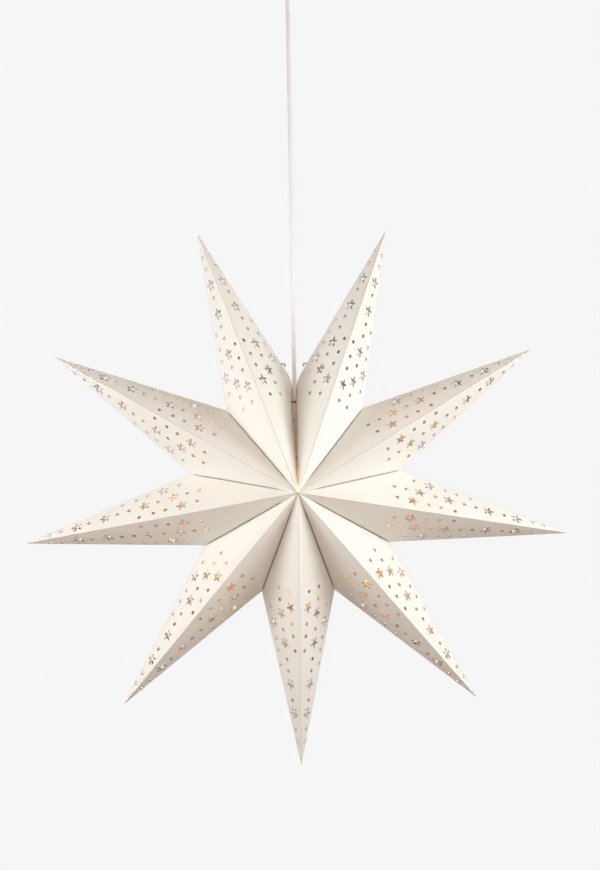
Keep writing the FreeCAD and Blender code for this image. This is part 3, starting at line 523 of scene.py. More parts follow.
# how far each seam lip rolls in and over what width, in millimetres, in front (1) and behind (-1)
LIP_ROLLS = {("left", 1): (3.8, 14.0), ("right", 1): (1.0, 5.0),
             ("left", -1): (0.2, 6.0), ("right", -1): (0.2, 6.0)}
LIP_RAMP = 90.0  # a lip's roll grows to its full depth over this length from the centre
LIP_FOLD_EASE = 7.0  # and fades out over this distance from the outer fold
LIP_NORMAL = (0.606, 0.677)  # a front panel's normal, forwards and across the valley plane
VALLEY_ROWS = (0.45, 0.95, 1.6, 2.5)  # rows of points beside a valley, for its rounded edge
VALLEY_ROLL, VALLEY_WIDTH = 0.7, 0.8  # how far a glued edge turns in, and over what width
RIDGE_EASE, FOLD_EASE = 2.5, 2.0  # the turned-in edge fades out this near to ridge and fold
ROLL_START, ROLL_RAMP = 18.0, 12.0  # it starts this far from the centre and grows over this
GRID_STEP = 7.0  # spacing of a panel's points
# how near the grid comes to folds, valley and holes, and a hole's darker ring to a fold
FOLD_GAP, VALLEY_GAP, HOLE_GAP, HOLE_RIM_GAP = 2.2, 3.8, 1.4, 0.3
FAR = 9.0  # stands for any distance at which a mark doesn't show


def hole_outlines(corners):
    """Outlines of the stars and dots in the flat panel with these corners: tip, centre, valley."""
    sizes = bpy.context.scene.paper_star
    ends = np.array([-ARM_END, ARM_END, math.pi / STAR_ARMS])
    turn = np.arange(STAR_ARMS)[:, None] * math.tau / STAR_ARMS + math.pi + ends
    turn = turn.ravel()
    reach = sizes.star_hole / MM * np.tile([1.0, 1.0, STAR_WAIST], STAR_ARMS)
    star = np.stack([reach * np.cos(turn), reach * np.sin(turn)], axis=-1)
    turn = np.arange(DOT_SIDES) * math.tau / DOT_SIDES
    dot = sizes.round_hole / MM * np.stack([np.cos(turn), np.sin(turn)], axis=-1)
    sides = corners[1:]
    return ([middle + star for middle in PUNCHED_STARS @ sides]
            + [middle + dot for middle in PUNCHED_DOTS @ sides])


def widened(outline, distance):
    """Closed outline with its sides moved outwards: corner c goes to c + (n + m) d / (1 + n . m),
    where n and m are the outward normals of its two sides and d is the distance. The outline runs
    anticlockwise."""
    ahead = np.roll(outline, -1, axis=0) - outline
    ahead = ahead / np.linalg.norm(ahead, axis=1, keepdims=True)
    normal = np.stack([ahead[:, 1], -ahead[:, 0]], axis=-1)
    before = np.roll(normal, 1, axis=0)
    return outline + (normal + before) * distance / (1 + (normal * before).sum(axis=1))[:, None]


def side_distance(points, start, end):
    """Distance of each point from the line through start and end."""
    along = (end - start) / np.linalg.norm(end - start)
    off = points - start
    return np.abs(off[:, 0] * along[1] - off[:, 1] * along[0])


def within(points, outline):
    """True for each point inside the closed outline, by counting the sides to its right."""
    x, y = points[:, :1], points[:, 1:]
    a, b = outline, np.roll(outline, -1, axis=0)
    spans = (a[None, :, 1] > y) != (b[None, :, 1] > y)
    rise = np.where(b[:, 1] == a[:, 1], 1e-12, b[:, 1] - a[:, 1])
    crossing = a[None, :, 0] + (y - a[None, :, 1]) * ((b - a)[:, 0] / rise)[None, :]
    return (spans & (x < crossing)).sum(axis=1) % 2 == 1


def steps_between(start, end, count):
    """count points at even steps from start towards end, without end."""
    return start + (end - start) * np.linspace(0, 1, count + 1)[:-1, None]


def panel_border(corners, lip):
    """Closed outline of a flat panel: ridge, valley side and outer fold.

    Where lip is true the corner C at the top of the seam becomes (1-t)^2 A + 2t(1-t) C + t^2 B,
    with A on the valley side and B on the outer fold."""
    tip, centre, valley = corners
    ridge = steps_between(tip, centre, 32)
    if not lip:
        return np.concatenate([ridge, steps_between(centre, valley, 24),
                               steps_between(valley, tip, 24)])
    corner = bpy.context.scene.paper_star.lip_round / MM
    low = valley + (centre - valley) / np.linalg.norm(centre - valley) * corner
    high = valley - valley / np.linalg.norm(valley) * corner
    t = np.linspace(0, 1, 9)[:-1, None]
    curve = (1 - t) ** 2 * low + 2 * t * (1 - t) * valley + t ** 2 * high
    return np.concatenate([ridge, steps_between(centre, low, 32), curve,
                           steps_between(high, tip, 24)])


def panel_fill(corners, border, holes):
    """Points inside a flat panel: a staggered grid, rows beside the valley for its rounded edge,
    and a ring round each hole for the darker rim drawn there."""
    tip, centre, valley = corners
    x, y = np.meshgrid(np.arange(0, centre[0], GRID_STEP), np.arange(0, valley[1], GRID_STEP * 0.87))
    x = x + GRID_STEP / 2 * (np.arange(len(x)) % 2)[:, None]
    grid = np.stack([x.ravel(), y.ravel()], axis=-1)
    from_folds = np.minimum(side_distance(grid, tip, centre), side_distance(grid, tip, valley))
    from_valley = side_distance(grid, centre, valley)
    grid = grid[(from_folds > FOLD_GAP) & (from_valley > VALLEY_GAP)]
    deep = side_distance(tip[None], centre, valley)[0]
    rows = [centre + (tip - centre) * gap / deep
            + (valley - centre) * (1 - gap / deep) * np.linspace(0.01, 0.93, 42)[:, None]
            for gap in VALLEY_ROWS]
    inner = np.concatenate([grid] + rows)
    middles = np.array([hole.mean(axis=0) for hole in holes])
    reach = np.array([np.abs(hole - hole.mean(axis=0)).max() for hole in holes])
    from_holes = np.linalg.norm(inner[:, None] - middles[None], axis=2) - reach[None]
    inner = inner[from_holes.min(axis=1) > HOLE_GAP]
    rings = np.concatenate([widened(hole, HOLE_RIM) for hole in holes])
    from_folds = np.minimum(side_distance(rings, tip, centre), side_distance(rings, tip, valley))
    inner = np.concatenate([inner, rings[from_folds > HOLE_RIM_GAP]])
    return inner[within(inner, border)]


def panel_sheet(corners, lip):
    """Triangles of one flat panel, in millimetres from the tip, without those in its holes."""
    border, holes = panel_border(corners, lip), hole_outlines(corners)
    loops, edges, first = [border] + holes, [], 0
    for loop in loops:
        number = np.arange(len(loop))
        edges += (np.stack([number, np.roll(number, -1)], axis=-1) + first).tolist()
        first += len(loop)
    points = np.concatenate(loops + [panel_fill(corners, border, holes)])
    made = delaunay_2d_cdt([Vector(p) for p in points], edges, [], 1, 1e-5)
    points, faces = np.array([tuple(p) for p in made[0]]), np.array(made[2])
    a, b, c = (points[faces[:, k]] for k in range(3))
    turn = (b - a)[:, 0] * (c - a)[:, 1] - (b - a)[:, 1] * (c - a)[:, 0]
    faces = np.where((turn < 0)[:, None], faces[:, ::-1], faces)[np.abs(turn) > 1e-6]
    middle = points[faces].mean(axis=1)
    keep = within(middle, border)
    for hole in holes:
        keep &= ~within(middle, hole)
    return points, faces[keep]


def shaped_panel(valley_radius, valley_angle, curl):
    """One front panel in its point's own frame, with the point along +X and this side at +Z, and
    each point's distances from ridge, outer fold, hole and glued valley, which the painted
    shade and the darker hole rims read.

    A flat point p at ridge distance s and offset t stands at tip + s u + t w + h n, where u and w
    lie in the panel and n points outwards. h is the crown, 27 b1 b2 b3 with barycentric b, less
    the turned-in valley edge and the roll of a seam lip, each depth exp(-(d / width)^2) at
    distance d from that edge."""
    sizes = bpy.context.scene.paper_star
    tip = np.array([sizes.tip_radius, 0.0, 0.0]) / MM
    centre = np.array([0.0, -sizes.half_depth, 0.0]) / MM
    valley = valley_radius * np.array([math.cos(valley_angle), 0.0, math.sin(valley_angle)])
    ridge = np.linalg.norm(centre - tip)
    u = (centre - tip) / ridge
    along = (valley - tip) @ u
    w = (valley - tip) - along * u
    off = np.linalg.norm(w)
    w = w / off
    n = np.cross(u, w)
    n = n if n[1] < 0 else -n
    corners = np.array([(0.0, 0.0), (ridge, 0.0), (along, off)])
    is_lip = curl[0] > 0
    flat, faces = panel_sheet(corners, is_lip)
    ridge_gap = side_distance(flat, corners[0], corners[1])
    fold_gap = side_distance(flat, corners[0], corners[2])
    valley_gap = side_distance(flat, corners[1], corners[2])
    heights = [side_distance(corners[[k]], corners[(k + 1) % 3], corners[(k + 2) % 3])[0]
               for k in range(3)]
    b = valley_gap / heights[0] * (fold_gap / heights[1]) * (ridge_gap / heights[2])
    h = sizes.crown / MM * 27 * b
    from_centre = np.linalg.norm(flat - corners[1], axis=1)
    roll = VALLEY_ROLL * np.exp(-(valley_gap / VALLEY_WIDTH) ** 2)
    roll = roll * (1 - np.exp(-(ridge_gap / RIDGE_EASE) ** 2))
    roll = roll * (1 - np.exp(-(fold_gap / FOLD_EASE) ** 2))
    h = h - roll * np.clip((from_centre - ROLL_START) / ROLL_RAMP, 0, 1)
    if is_lip:
        lip = curl[0] * np.exp(-(valley_gap / curl[1]) ** 2)
        lip = lip * np.clip(from_centre / LIP_RAMP, 0, 1) ** 1.5
        h = h - lip * (1 - np.exp(-(fold_gap / LIP_FOLD_EASE) ** 2))
    points = tip + flat[:, :1] * u + flat[:, 1:] * w + h[:, None] * n
    if np.cross(u, w) @ n < 0:
        faces = faces[:, ::-1]
    # only the valleys are glued, and the seam's lips stay open; the painted valley shade lies along the
    # glued valleys
    glued_valley_shade_gap = np.where(is_lip, FAR, valley_gap)
    rims = np.concatenate(hole_outlines(corners))
    hole_gap = np.linalg.norm(flat[:, None] - rims[None], axis=2).min(axis=1)
    hole_gap = np.minimum(hole_gap, HOLE_RIM)
    marks = np.stack([ridge_gap, fold_gap, hole_gap, glued_valley_shade_gap], axis=-1)
    return points, faces, marks


def with_wall(points, faces, thickness):
    """Closed wall behind an open surface.

    Each point p gets a partner p - thickness N / m, where N is the mean of the directions of the
    faces round it and m their mean agreement with N, at least 0.33; quads close the borders."""
    a, b, c = (points[faces[:, k]] for k in range(3))
    cross = np.cross(b - a, c - a)
    direction = cross / np.linalg.norm(cross, axis=1, keepdims=True)
    total = np.zeros_like(points)
    angles = []
    for k in range(3):
        p, q, r = (points[faces[:, (k + m) % 3]] for m in range(3))
        q, r = q - p, r - p
        cosine = (q * r).sum(axis=1) / (np.linalg.norm(q, axis=1) * np.linalg.norm(r, axis=1))
        angles.append(np.arccos(np.clip(cosine, -1, 1)))
        np.add.at(total, faces[:, k], direction * angles[-1][:, None])
    mean = total / np.linalg.norm(total, axis=1, keepdims=True)
    agreement, weight = np.zeros(len(points)), np.zeros(len(points))
    for k in range(3):
        share = (direction * mean[faces[:, k]]).sum(axis=1)
        np.add.at(agreement, faces[:, k], share * angles[k])
        np.add.at(weight, faces[:, k], angles[k])
    depth = thickness / np.maximum(agreement / weight, 0.33)
    behind = points - mean * depth[:, None]
    sides = np.concatenate([faces[:, [0, 1]], faces[:, [1, 2]], faces[:, [2, 0]]])
    key = np.sort(sides, axis=1)
    _, first, counts = np.unique(key, axis=0, return_index=True, return_counts=True)
    border = sides[first[counts == 1]]
    count = len(points)
    rim = np.stack([border[:, 1], border[:, 0], border[:, 0] + count, border[:, 1] + count],
                   axis=-1)
    return (np.concatenate([points, behind]),
            faces.tolist() + (faces[:, ::-1] + count).tolist() + rim.tolist())


# Section of a glued strip: depth below the valley, then how far its glued and its free face stand
# off the valley plane, in millimetres.
FLAP_SECTION = ((0.4, 0.42, 0.86), (0.9, 0.2, 0.62), (1.7, 0.05, 0.45), (FLAP_WIDTH, 0.05, 0.45))


def glue_flap(valley_radius, valley_angle, curl, front):
    """Glued strip inside a valley, with its rounded fold, towards the point's own hollow.

    Line k lies depth_k inside the valley edge, which runs from near the centre to the valley, and
    stands off the valley plane by the section's two distances; the strip is ruled between lines."""
    sizes = bpy.context.scene.paper_star
    half = sizes.half_depth / MM
    out = np.array([math.cos(valley_angle), 0.0, math.sin(valley_angle)])
    into = np.array([math.sin(valley_angle), 0.0, -math.cos(valley_angle)])
    slope = math.hypot(valley_radius, half) / valley_radius
    share = np.linspace(0, 0.86 if curl[0] > 0 else 0.985, 24)[:, None]
    # a rolled lip takes its strip along, in the direction of the panel's own normal
    rolled = np.clip(share * math.hypot(valley_radius, half) / LIP_RAMP, 0, 1) ** 1.5
    roll = curl[0] * rolled
    start = np.array([[FLAP_END, half * (1 - FLAP_END / valley_radius)]])
    section = ([(depth, glued) for depth, glued, free in FLAP_SECTION]
               + [(depth, free) for depth, glued, free in reversed(FLAP_SECTION)])
    forwards = np.array([0.0, -1.0 if front else 1.0, 0.0])
    rows, marks = [], []
    for depth, shift in section:
        drop = depth * slope if depth == FLAP_WIDTH else depth
        end = np.array([[valley_radius * (1 - drop / half), 0.0]])
        line = (start - np.array([[0.0, drop]])) * (1 - share) + end * share
        y = line[:, 1:] - LIP_NORMAL[0] * roll
        rows.append(line[:, :1] * out + y * forwards + (shift + LIP_NORMAL[1] * roll) * into)
        # the strip's fold next to the valley takes the painted valley shade, a seam lip's strip doesn't
        in_valley_shade = depth < 1.5 and curl[0] == 0
        marks.append(np.tile([FAR, FAR, FAR, 0.0 if in_valley_shade else FAR], (len(line), 1)))
    count, lines = len(share), len(rows)
    faces = grid_faces(lines, count, close_rows=True).tolist()
    faces += [[k * count for k in range(lines)],
              [k * count + count - 1 for k in reversed(range(lines))]]
    return np.stack(rows).reshape(-1, 3), faces, np.concatenate(marks)


def star_point(number):
    """One paper point: four panels joined at their folds, their wall, and the glued strips."""
    sizes = bpy.context.scene.paper_star
    half_angle = math.pi / POINT_COUNT
    tip, valley = sizes.tip_radius / MM, sizes.valley_radius / MM
    out, side = valley * math.cos(half_angle), valley * math.sin(half_angle)
    base = side * tip / (tip - out)
    lip_angle = half_angle - SEAM_LEAN
    lip_radius = 1 / (math.cos(lip_angle) / tip + math.sin(lip_angle) / base)
    open_side = {1: 1, POINT_COUNT: -1}.get(number, 0)
    lip = "right" if number == 1 else "left"
    panels, strips, first = [], [], 0
    for upper in (1, -1):
        for front in (1, -1):
            shape = (valley, half_angle, (0.0, 1.0))
            if upper == open_side:
                shape = (lip_radius, lip_angle, LIP_ROLLS[lip, front])
            panel, triangles, mark = shaped_panel(*shape)
            order = triangles if front * upper > 0 else triangles[:, ::-1]
            panels.append((panel * np.array([1.0, front, upper]), order + first, mark))
            first += len(panel)
            strip, strip_faces, strip_mark = glue_flap(*shape, front > 0)
            strips.append((strip * np.array([1.0, 1.0, upper]), strip_faces, strip_mark))
    points, faces, marks = (np.concatenate(parts) for parts in zip(*panels))
    # panels share their points along a fold
    _, kept, number_of = np.unique(np.round(points, 3) + 0.0, axis=0, return_index=True,
                                   return_inverse=True)
    points, marks, faces = points[kept], marks[kept], number_of.reshape(-1)[faces]
    faces = faces[(faces != np.roll(faces, 1, axis=1)).all(axis=1)]
    walled = with_wall(points, faces, sizes.card / MM)
    points, faces = stacked([walled] + [strip[:2] for strip in strips])
    turn = (2 * number - 1) * half_angle - math.pi / 2
    spin = np.array([[math.cos(turn), 0, math.sin(turn)], [0, 1, 0],
                     [-math.sin(turn), 0, math.cos(turn)]])
    return (points @ spin.T, faces), np.concatenate([marks, marks] + [strip[2] for strip in strips])


# ---- turned pieces ---------------------------------------------------------------------------------

# Outlines of the turned pieces: radius and height above the star's centre, in millimetres.
CAP = ((9.7, 56.0), (11.7, 56.0), (11.7, 58.0), (14.0, 58.0), (14.0, 64.0), (7.0, 76.0),
       (2.4, 76.0), (2.4, 74.0), (6.0, 74.0), (9.7, 64.0))
SLEEVE = ((8.6, 20.0), (14.0, 20.0), (14.0, 38.0), (18.0, 38.0), (18.0, 41.0), (14.0, 41.0),
          (14.0, 60.0), (12.0, 60.0), (12.0, 39.0), (10.0, 39.0), (10.0, 22.0), (8.6, 22.0))
RING = ((14.3, 28.4), (19.0, 28.4), (20.0, 29.4), (20.0, 33.4), (19.0, 34.4), (14.3, 34.4))
BAND = ((14.3, 34.7), (15.5, 34.7), (15.5, 37.7), (14.3, 37.7))
GRIP = ((2.4, 78.0), (5.5, 78.0), (5.5, 82.0), (3.4, 86.0), (2.4, 86.0))
CONTACT_SHELL = ((7.25, 23.0), (7.65, 23.0), (7.65, 39.0), (7.25, 39.0))
LAMP_CAP = ((6.45, 20.0), (6.95, 20.0), (6.95, 34.0), (3.475, 36.0), (2.975, 36.0),
            (2.975, 35.5), (6.45, 33.5))
EYELET = ((0, 35.0), (2.875, 35.0), (2.875, 37.0), (1.875, 38.0), (0, 38.0))
LAMP_PITCH, SLEEVE_PITCH = 2.82, 2.5  # of the lamp's thread and of the sleeve's


def thread_ripple(low, high, pitch, depth, fade, least=0.0, most=math.inf):
    """Radial ripple of a rolled thread: -depth (1 - cos(2 pi z / pitch - a)) / 2 between low and
    high, fading out over fade, on walls whose radius is from least to most."""
    def ripple(r, z, a):
        ends = np.clip((z - low) / fade, 0, 1) * np.clip((high - z) / fade, 0, 1)
        wall = (r >= least) & (r <= most)
        return -depth * 0.5 * (1 - np.cos(2 * math.pi * z / pitch - a)) * ends * wall
    return ripple


def finger_ribs(count, depth, least):
    """Ribs round a turned piece: -depth (1 - cos(count a)) / 2 where the radius is over least."""
    def ripple(r, z, a):
        return -depth * (0.5 - 0.5 * np.cos(count * a)) * (r > least)
    return ripple


def cap_flutes(r, z, a):
    """Narrow flutes in the cap's skirt: -0.3 (1 - |cos 12 a|)^2, fading out over 1.2 mm."""
    ends = np.clip((z - 58.4) / 1.2, 0, 1) * np.clip((64.6 - z) / 1.2, 0, 1)
    return -0.3 * (1 - np.abs(np.cos(12 * a))) ** 2 * (r > 13.4) * ends


# ---- operators -------------------------------------------------------------------------------------

class PENDANT_OT_studio(bpy.types.Operator):
    """Camera at the photograph's angle, pale backdrop and floor, and five soft boxes"""
    bl_idname = "pendant.studio"
    bl_label = "Camera, floor and lights"

    def execute(self, context):
        sizes = context.scene.studio
        star = Vector((0.0, 0.0, STAR_LEVEL * MM))
        azimuth, height = sizes.camera_azimuth, sizes.camera_height
        back = Vector((math.sin(azimuth) * math.cos(height),
                       -math.cos(azimuth) * math.cos(height), math.sin(height)))
        # the picture is 600 x 870 pixels; the long side is the sensor's width
        lens, sensor, long_side = 90.9, 36.0, 870
        focal = lens / sensor * long_side
        # pixels from the star's centre to the middle of the picture
        off_right, off_up = 4.6, 55.5
        right = Vector((0, 0, 1)).cross(back).normalized()
        up = back.cross(right)
        aim = (-back + right * (off_right / focal) + up * (off_up / focal)).normalized()
        data = bpy.data.cameras.new("camera")
        data.lens, data.sensor_width, data.sensor_fit = lens, sensor, "AUTO"
        data.clip_end = 100.0
        camera = new_object("camera", data)
        turn = aim.to_track_quat("-Z", "Y").to_matrix().to_4x4()
        camera.matrix_world = (Matrix.Translation(star + back * sizes.camera_distance) @ turn
                               @ Matrix.Rotation(sizes.camera_roll, 4, "Z"))
        context.scene.camera = camera

        # the camera sees the pale backdrop; what it lights is a good deal dimmer
        world = bpy.data.worlds.new("pale_studio")
        world.use_nodes = True
        tree = world.node_tree
        tree.nodes.clear()
        seen = add_node(tree, "ShaderNodeBackground", {"Color": rgba(sizes.backdrop_colour)})
        lit = add_node(tree, "ShaderNodeBackground", {
            "Color": rgba(sizes.fill_colour), "Strength": sizes.fill_light})
        either = add_node(tree, "ShaderNodeMixShader", {
            0: add_node(tree, "ShaderNodeLightPath").outputs["Is Camera Ray"],
            1: lit.outputs["Background"], 2: seen.outputs["Background"]})
        add_node(tree, "ShaderNodeOutputWorld", {"Surface": either.outputs["Shader"]})
        context.scene.world = world
        context.scene.view_settings.view_transform = "Standard"

        # boxes left and right light a side of the star each, the others fill in from further off,
        # and a weak one stands close in front of its centre: place, width, height, share of power
        boxes = {"soft_box_right": ((0.85, -0.42, 0.20), 0.5, 0.7, 0.97),
                 "soft_box_left": ((-0.85, -0.42, 0.13), 0.5, 0.7, 0.86),
                 "soft_box_front": ((0.5, -2.7, 0.5), 1.2, 1.2, 1.2),
                 "soft_box_near": ((0.0, -0.75, -0.05), 0.3, 0.3, 0.12),
                 "soft_box_behind": ((-0.3, 2.2, 0.6), 2.0, 2.0, 5.0)}
        for name, (place, width, height, share) in boxes.items():
            light = bpy.data.lights.new(name, "AREA")
            light.energy, light.shape = sizes.side_light * share, "RECTANGLE"
            light.size, light.size_y = width, height
            light.color = sizes.light_colour
            box = new_object(name, light)
            box.location = star + Vector(place)
            box.rotation_mode = "QUATERNION"
            box.rotation_quaternion = (star - box.location).to_track_quat("-Z", "Y")
            box.visible_camera = False

        radius, thick = 8000, 40
        points, faces = lathe([(0, 0), (radius, 0), (radius, -thick), (0, -thick)], sides=96)
        points = points - np.array([0.0, 0.0, sizes.floor_level / MM])
        mesh = closed_mesh("studio_floor", (points, faces), floor_finish(), doubles=1e-5)
        new_object("studio_floor", mesh)
        return {"FINISHED"}


class PENDANT_OT_cord(bpy.types.Operator):
    """The one taut round cord that carries the lampholder"""
    bl_idname = "pendant.cord"
    bl_label = "Cord"

    def execute(self, context):
        sizes = context.scene.pendant_cord
        near = 6 * sizes.thickness
        route = [(0, 0, -sizes.top), (0, 0, -sizes.top - near), (0, 0, -sizes.bottom + near),
                 (0, 0, -sizes.bottom)]
        curve = bpy.data.curves.new("suspension_cord", "CURVE")
        curve.dimensions = "3D"
        curve.bevel_depth = sizes.thickness / 2
        curve.bevel_resolution = 6
        curve.use_fill_caps = True
        line = curve.splines.new("NURBS")
        line.points.add(len(route) - 1)
        for point, place in zip(line.points, route):
            point.co = (*place, 1.0)
        line.order_u = 3
        line.use_endpoint_u = True
        line.resolution_u = 12
        curve.materials.append(cord_finish())
        cord = new_object("suspension_cord", curve)
        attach(cord, "pendant")
        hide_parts("pendant_cord")
        return {"FINISHED"}


class PENDANT_OT_paper_star(bpy.types.Operator):
    """Nine folded card points with their punched stars and dots"""
    bl_idname = "pendant.paper_star"
    bl_label = "Paper star"

    def execute(self, context):
        card = card_finish()
        for number in range(1, POINT_COUNT + 1):
            shape, marks = star_point(number)
            new_piece("card_point_%d" % number, shape, card, "shade", "point_%d" % number,
                      STAR_LEVEL, crease=24.0,
                      uv={"FoldDistance": marks[:, :2], "EdgeDistance": marks[:, 2:]})
        return {"FINISHED"}


class PENDANT_OT_seam_ties(bpy.types.Operator):
    """Waxed thread through both lips of the seam, knotted behind each lip and between them"""
    bl_idname = "pendant.seam_ties"
    bl_label = "Seam ties"

    def execute(self, context):
        finish = surface_finish("waxed_linen_thread")
        thread, cord, margin = 0.45, 0.5, 1.9
        for side in ("front", "back"):
            low, high = (np.array(corner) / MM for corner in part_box(side + "_tie"))
            reach = (high[0] - low[0]) / 2
            # the thread is a slack line, with sag 0.35 (1 - (x / reach)^2)
            x = np.linspace(-reach + 2 * thread, reach - 2 * thread, 24)
            sag = -0.35 * (1 - (x / reach) ** 2)
            parts = [tube(np.stack([x, 0 * x, sag], axis=-1), thread, sides=10)]
            # a knot is a trefoil: scale times (-sin 3a, sin a + 2 sin 2a, cos a - 2 cos 2a)
            a = np.linspace(0.1, 2 * math.pi - 0.1, 56)
            trefoil = np.stack([-np.sin(3 * a), np.sin(a) + 2 * np.sin(2 * a),
                                np.cos(a) - 2 * np.cos(2 * a)], axis=-1)
            for centre, scale in ((margin - reach, 0.42), (-0.2, 0.40), (reach - margin, 0.42)):
                knot = scale * trefoil + np.array([centre, 0.0, 0.0])
                parts.append(tube(knot, cord, sides=8, across=(1, 0, 0)))
            points, faces = stacked(parts)
            new_piece(side + "_thread", (points + (low + high) / 2, faces), finish, "shade",
                      side + "_tie", crease=60.0)
        return {"FINISHED"}


class PENDANT_OT_wire_bracket(bpy.types.Operator):
    """Sprung wire with its band, whose two tips come out through the top folds"""
    bl_idname = "pendant.wire_bracket"
    bl_label = "Wire bracket"

    def execute(self, context):
        # the wire starts at foot, on the band, and its tip is turned back into a small hook, so
        # that it doesn't tear the card
        foot, low, high, reach, bend = 14.9, 36.2, 138.6, 27.0, 5.0
        wire, hook, hook_middle = 1.0, 1.5, 11.4
        half = np.concatenate([
            [[foot, low]], arc(reach - bend, low + bend, bend, -90, 0),
            arc(reach - bend, high - bend, bend, 0, 90), [[hook_middle + 0.6, high]],
            arc(hook_middle, high - hook, hook, 90, 250, 12)])
        path = np.stack([half[:, 0], 0 * half[:, 0], half[:, 1]], axis=-1)
        right = tube(path, wire, sides=18)
        left = (right[0] * np.array([-1.0, 1.0, 1.0]), right[1])
        band = lathe(rounded(BAND, 0.35), 96)
        new_piece("sprung_wire_bracket", stacked([band, right, left]),
                  surface_finish("zinc_plated_wire"), "shade", "wire_bracket",
                  STAR_LEVEL)
        return {"FINISHED"}


class PENDANT_OT_lampholder(bpy.types.Operator):
    """Moulded lampholder with its cap, grip, retaining ring, contact parts and leads"""
    bl_idname = "pendant.lampholder"
    bl_label = "Lampholder"

    def execute(self, context):
        white, brass = surface_finish("moulded_white_abs"), surface_finish("turned_brass")
        turned_piece("holder_cap_shell", CAP, 0.5, 144, white, "pendant", "holder_cap",
                     step=1.0, ripple=cap_flutes)
        thread = thread_ripple(20.6, 37.6, SLEEVE_PITCH, 0.5, SLEEVE_PITCH, 13.5, 14.05)
        turned_piece("holder_sleeve_shell", SLEEVE, 0.4, 96, white, "pendant", "holder_sleeve",
                     step=0.7, ripple=thread)
        turned_piece("retaining_ring", RING, 0.5, 180, white, "ring", "shade_ring",
                     step=0.8, ripple=finger_ribs(30, 0.45, 19.2))
        turned_piece("cord_grip_nut", GRIP, 0.4, 96, white, "pendant", "cord_grip",
                     step=0.7, ripple=finger_ribs(16, 0.25, 5.2))
        thread = thread_ripple(23.2, 38.8, LAMP_PITCH, 0.44, 1.0)
        turned_piece("threaded_contact_shell", CONTACT_SHELL, 0.15, 72, brass, "pendant",
                     "screw_shell", step=0.35, ripple=thread)
        dress_nodes({"contact_block": "glazed_steatite", "centre_contact": "turned_brass",
                     "holder_leads": "pvc_lead", "holder_terminal_screws": "turned_brass"})
        return {"FINISHED"}


class PENDANT_OT_lamp(bpy.types.Operator):
    """Screw-cap globe lamp with glowing filament strips"""
    bl_idname = "pendant.lamp"
    bl_label = "Lamp"

    def execute(self, context):
        sizes = context.scene.pendant_lamp
        middle, radius, glass, neck, top, cut = -12.0, 22.5, 0.9, 6.4, 24.0, 45.0
        outer = arc(0, middle, radius, -90, cut, 40)
        throat = middle + radius * 2 * math.cos(math.radians(cut)) - neck
        wall = [(neck, throat), (neck, top), (neck - glass, top),
                (neck - glass, throat - glass / 2)]
        inner = arc(0, middle, radius - glass, cut, -90, 40)
        new_piece("lamp_globe", lathe(np.concatenate([outer, wall, inner]), 96),
                  lamp_glass_finish(), "lamp", "bulb_globe", STAR_LEVEL)
        thread = thread_ripple(20.4, 33.6, LAMP_PITCH, 0.44, 1.0, least=6.3)
        turned_piece("lamp_thread_cap", LAMP_CAP, 0.2, 72, surface_finish("nickel_plated_shell"),
                     "lamp", "bulb_cap", step=0.35, ripple=thread)
        turned_piece("lamp_end_contact", EYELET, 0.4, 40, surface_finish("tin_solder"),
                     "lamp_tip", "bulb_contact")
        low = throat - 13.0
        stem = ((0, low), (1.8, low), (1.8, throat), (5.4, 23.1), (5.4, top), (0, top))
        turned_piece("lamp_stem", stem, 0.5, 48, surface_finish("pressed_stem_glass"), "lamp",
                     "bulb_stem")
        # the strips lean out from a hub under the stem
        count, lean, hub, height = sizes.filament_count, math.radians(12.0), low - 1.8, 1.8
        rim = ((0, hub), (2.7, hub), (2.7, hub + height), (0, hub + height))
        parts = [lathe(rounded(rim, 0.3), 32)]
        start = np.array([0.0, 0.0, hub + height / 2])
        steps = np.linspace(1.0, 25.8, 12)[:, None]
        for turn in np.arange(count) * 2 * math.pi / count:
            away = np.array([math.cos(turn) * math.sin(lean), math.sin(turn) * math.sin(lean),
                             -math.cos(lean)])
            parts.append(tube(start + steps * away, 0.9, sides=12,
                              across=(-math.sin(turn), math.cos(turn), 0)))
        new_piece("lamp_filaments", stacked(parts), filament_finish(), "lamp", "led_filaments",
                  STAR_LEVEL)
        return {"FINISHED"}


class PENDANT_OT_hook_and_bail(bpy.types.Operator):
    """Ceiling plate with its hook, and the wire bail that hangs on it"""
    bl_idname = "pendant.hook_and_bail"
    bl_label = "Ceiling hook and bail"

    def execute(self, context):
        dress_nodes({"ceiling_hook": "galvanised_steel"})
        top, leg, bend, foot, toe, wire = -40.788, -57.788, 9.0, 2.0, 3.0, 1.5
        side = np.concatenate([
            [[toe, leg]], arc(bend - foot, leg + foot, foot, -90, 0, 8),
            arc(0, top, bend, 0, 180, 32),
            arc(-bend + foot, leg + foot, foot, 180, 270, 8), [[-toe, leg]]])
        path = np.stack([0 * side[:, 0], side[:, 0], side[:, 1]], axis=-1)
        new_piece("wire_bail", tube(path, wire, sides=20, across=(1, 0, 0)),
                  surface_finish("zinc_plated_wire"), "bail_loop", "bail")
        return {"FINISHED"}


class PENDANT_OT_suspension_block(bpy.types.Operator):
    """Moulded block that hangs on the bail and clamps the cord"""
    bl_idname = "pendant.suspension_block"
    bl_label = "Suspension block"

    def execute(self, context):
        dress_nodes({"suspension_block": "moulded_white_abs", "clamp_plate": "moulded_white_abs",
                     "clamp_screws": "zinc_plated_screw",
                     "block_terminal_screws": "turned_brass"})
        return {"FINISHED"}


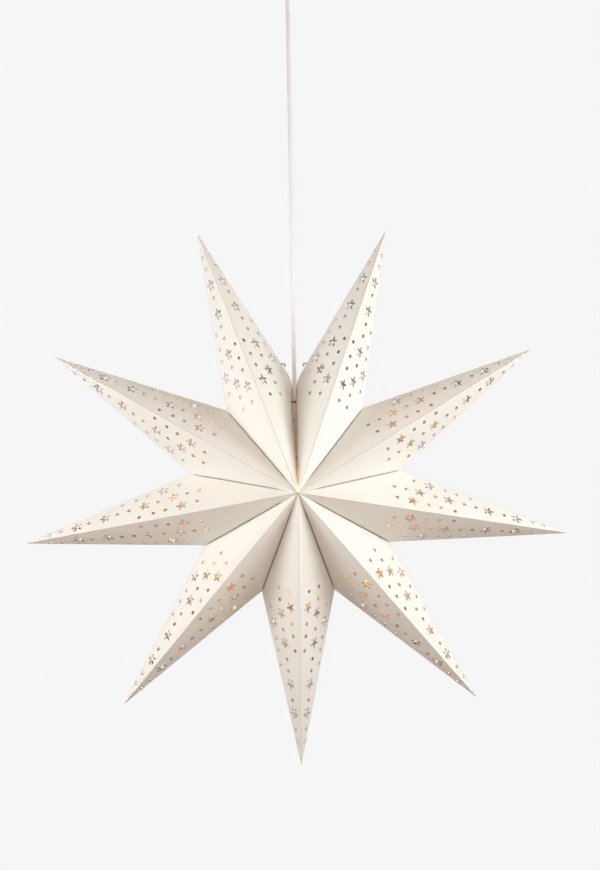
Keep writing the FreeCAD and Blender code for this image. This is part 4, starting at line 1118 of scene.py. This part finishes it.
class PENDANT_OT_ceiling_cup(bpy.types.Operator):
    """Tapered ceiling cup and the rubber grommet that holds it on the cord"""
    bl_idname = "pendant.ceiling_cup"
    bl_label = "Ceiling cup"

    def execute(self, context):
        lean, turn, bottom, wall, radius = math.radians(14.0), -20.0, -89.388, 1.6, 48.0
        bend, bore, rim, rim_level = 8.0, 5.0, 0.8, -2.8
        level, floor = bottom + bend, bottom + wall
        flat = radius - (bend + (turn - level) * math.sin(lean)) / math.cos(lean)
        ease = math.degrees(lean)
        profile = np.concatenate([
            [(bore, bottom)], arc(flat, level, bend, -90, -ease, 12), [(radius, turn)],
            arc(radius - rim, rim_level, rim, 0, 180, 9),
            [(radius - wall, turn + wall * math.tan(lean / 2))],
            arc(flat, level, bend - wall, -ease, -90, 12), [(bore, floor)]])
        new_piece("ceiling_cup_shell", lathe(profile, 128), surface_finish("polished_white_abs"),
                  "cup", "ceiling_cup")
        # the grommet's groove holds the edge of the cup's hole
        lip, flange = 1.6, 6.6
        grommet = ((2.4, bottom - 2 * lip), (bore, bottom - 2 * lip), (flange, bottom - lip),
                   (flange, bottom), (bore, bottom), (bore, floor), (flange, floor),
                   (flange, floor + lip), (2.4, floor + lip))
        turned_piece("rubber_grommet", grommet, 0.35, 64, surface_finish("epdm_rubber"), "cup",
                     "cup_grommet", step=1.0, level=0.0)
        return {"FINISHED"}


STEPS = (PENDANT_OT_studio, PENDANT_OT_cord, PENDANT_OT_paper_star, PENDANT_OT_seam_ties,
         PENDANT_OT_wire_bracket, PENDANT_OT_lampholder, PENDANT_OT_lamp,
         PENDANT_OT_hook_and_bail, PENDANT_OT_suspension_block, PENDANT_OT_ceiling_cup)
SIZES = {"paper_star": PaperStarSizes, "pendant_cord": PendantCordSizes,
         "pendant_lamp": LampSizes, "studio": StudioSizes}


class PENDANT_PT_panel(bpy.types.Panel):
    """Steps that build the pendant"""
    bl_label = "Paper star pendant"
    bl_idname = "PENDANT_PT_panel"
    bl_space_type = "VIEW_3D"
    bl_region_type = "UI"
    bl_category = "Paper Star"

    def draw(self, context):
        for name, group in SIZES.items():
            box = self.layout.box()
            box.label(text=group.__doc__)
            for prop in group.__annotations__:
                box.prop(getattr(context.scene, name), prop)
        for step in STEPS:
            self.layout.operator(step.bl_idname)


def register():
    for name, group in SIZES.items():
        bpy.utils.register_class(group)
        setattr(bpy.types.Scene, name, PointerProperty(type=group))
    for step in STEPS:
        bpy.utils.register_class(step)
    bpy.utils.register_class(PENDANT_PT_panel)


def unregister():
    bpy.utils.unregister_class(PENDANT_PT_panel)
    for step in reversed(STEPS):
        bpy.utils.unregister_class(step)
    for name, group in SIZES.items():
        delattr(bpy.types.Scene, name)
        bpy.utils.unregister_class(group)


def main():
    """Builds everything in order."""
    register()
    for step in STEPS:
        getattr(bpy.ops.pendant, step.bl_idname.split(".")[1])()


if __name__ == "__main__":
    main()
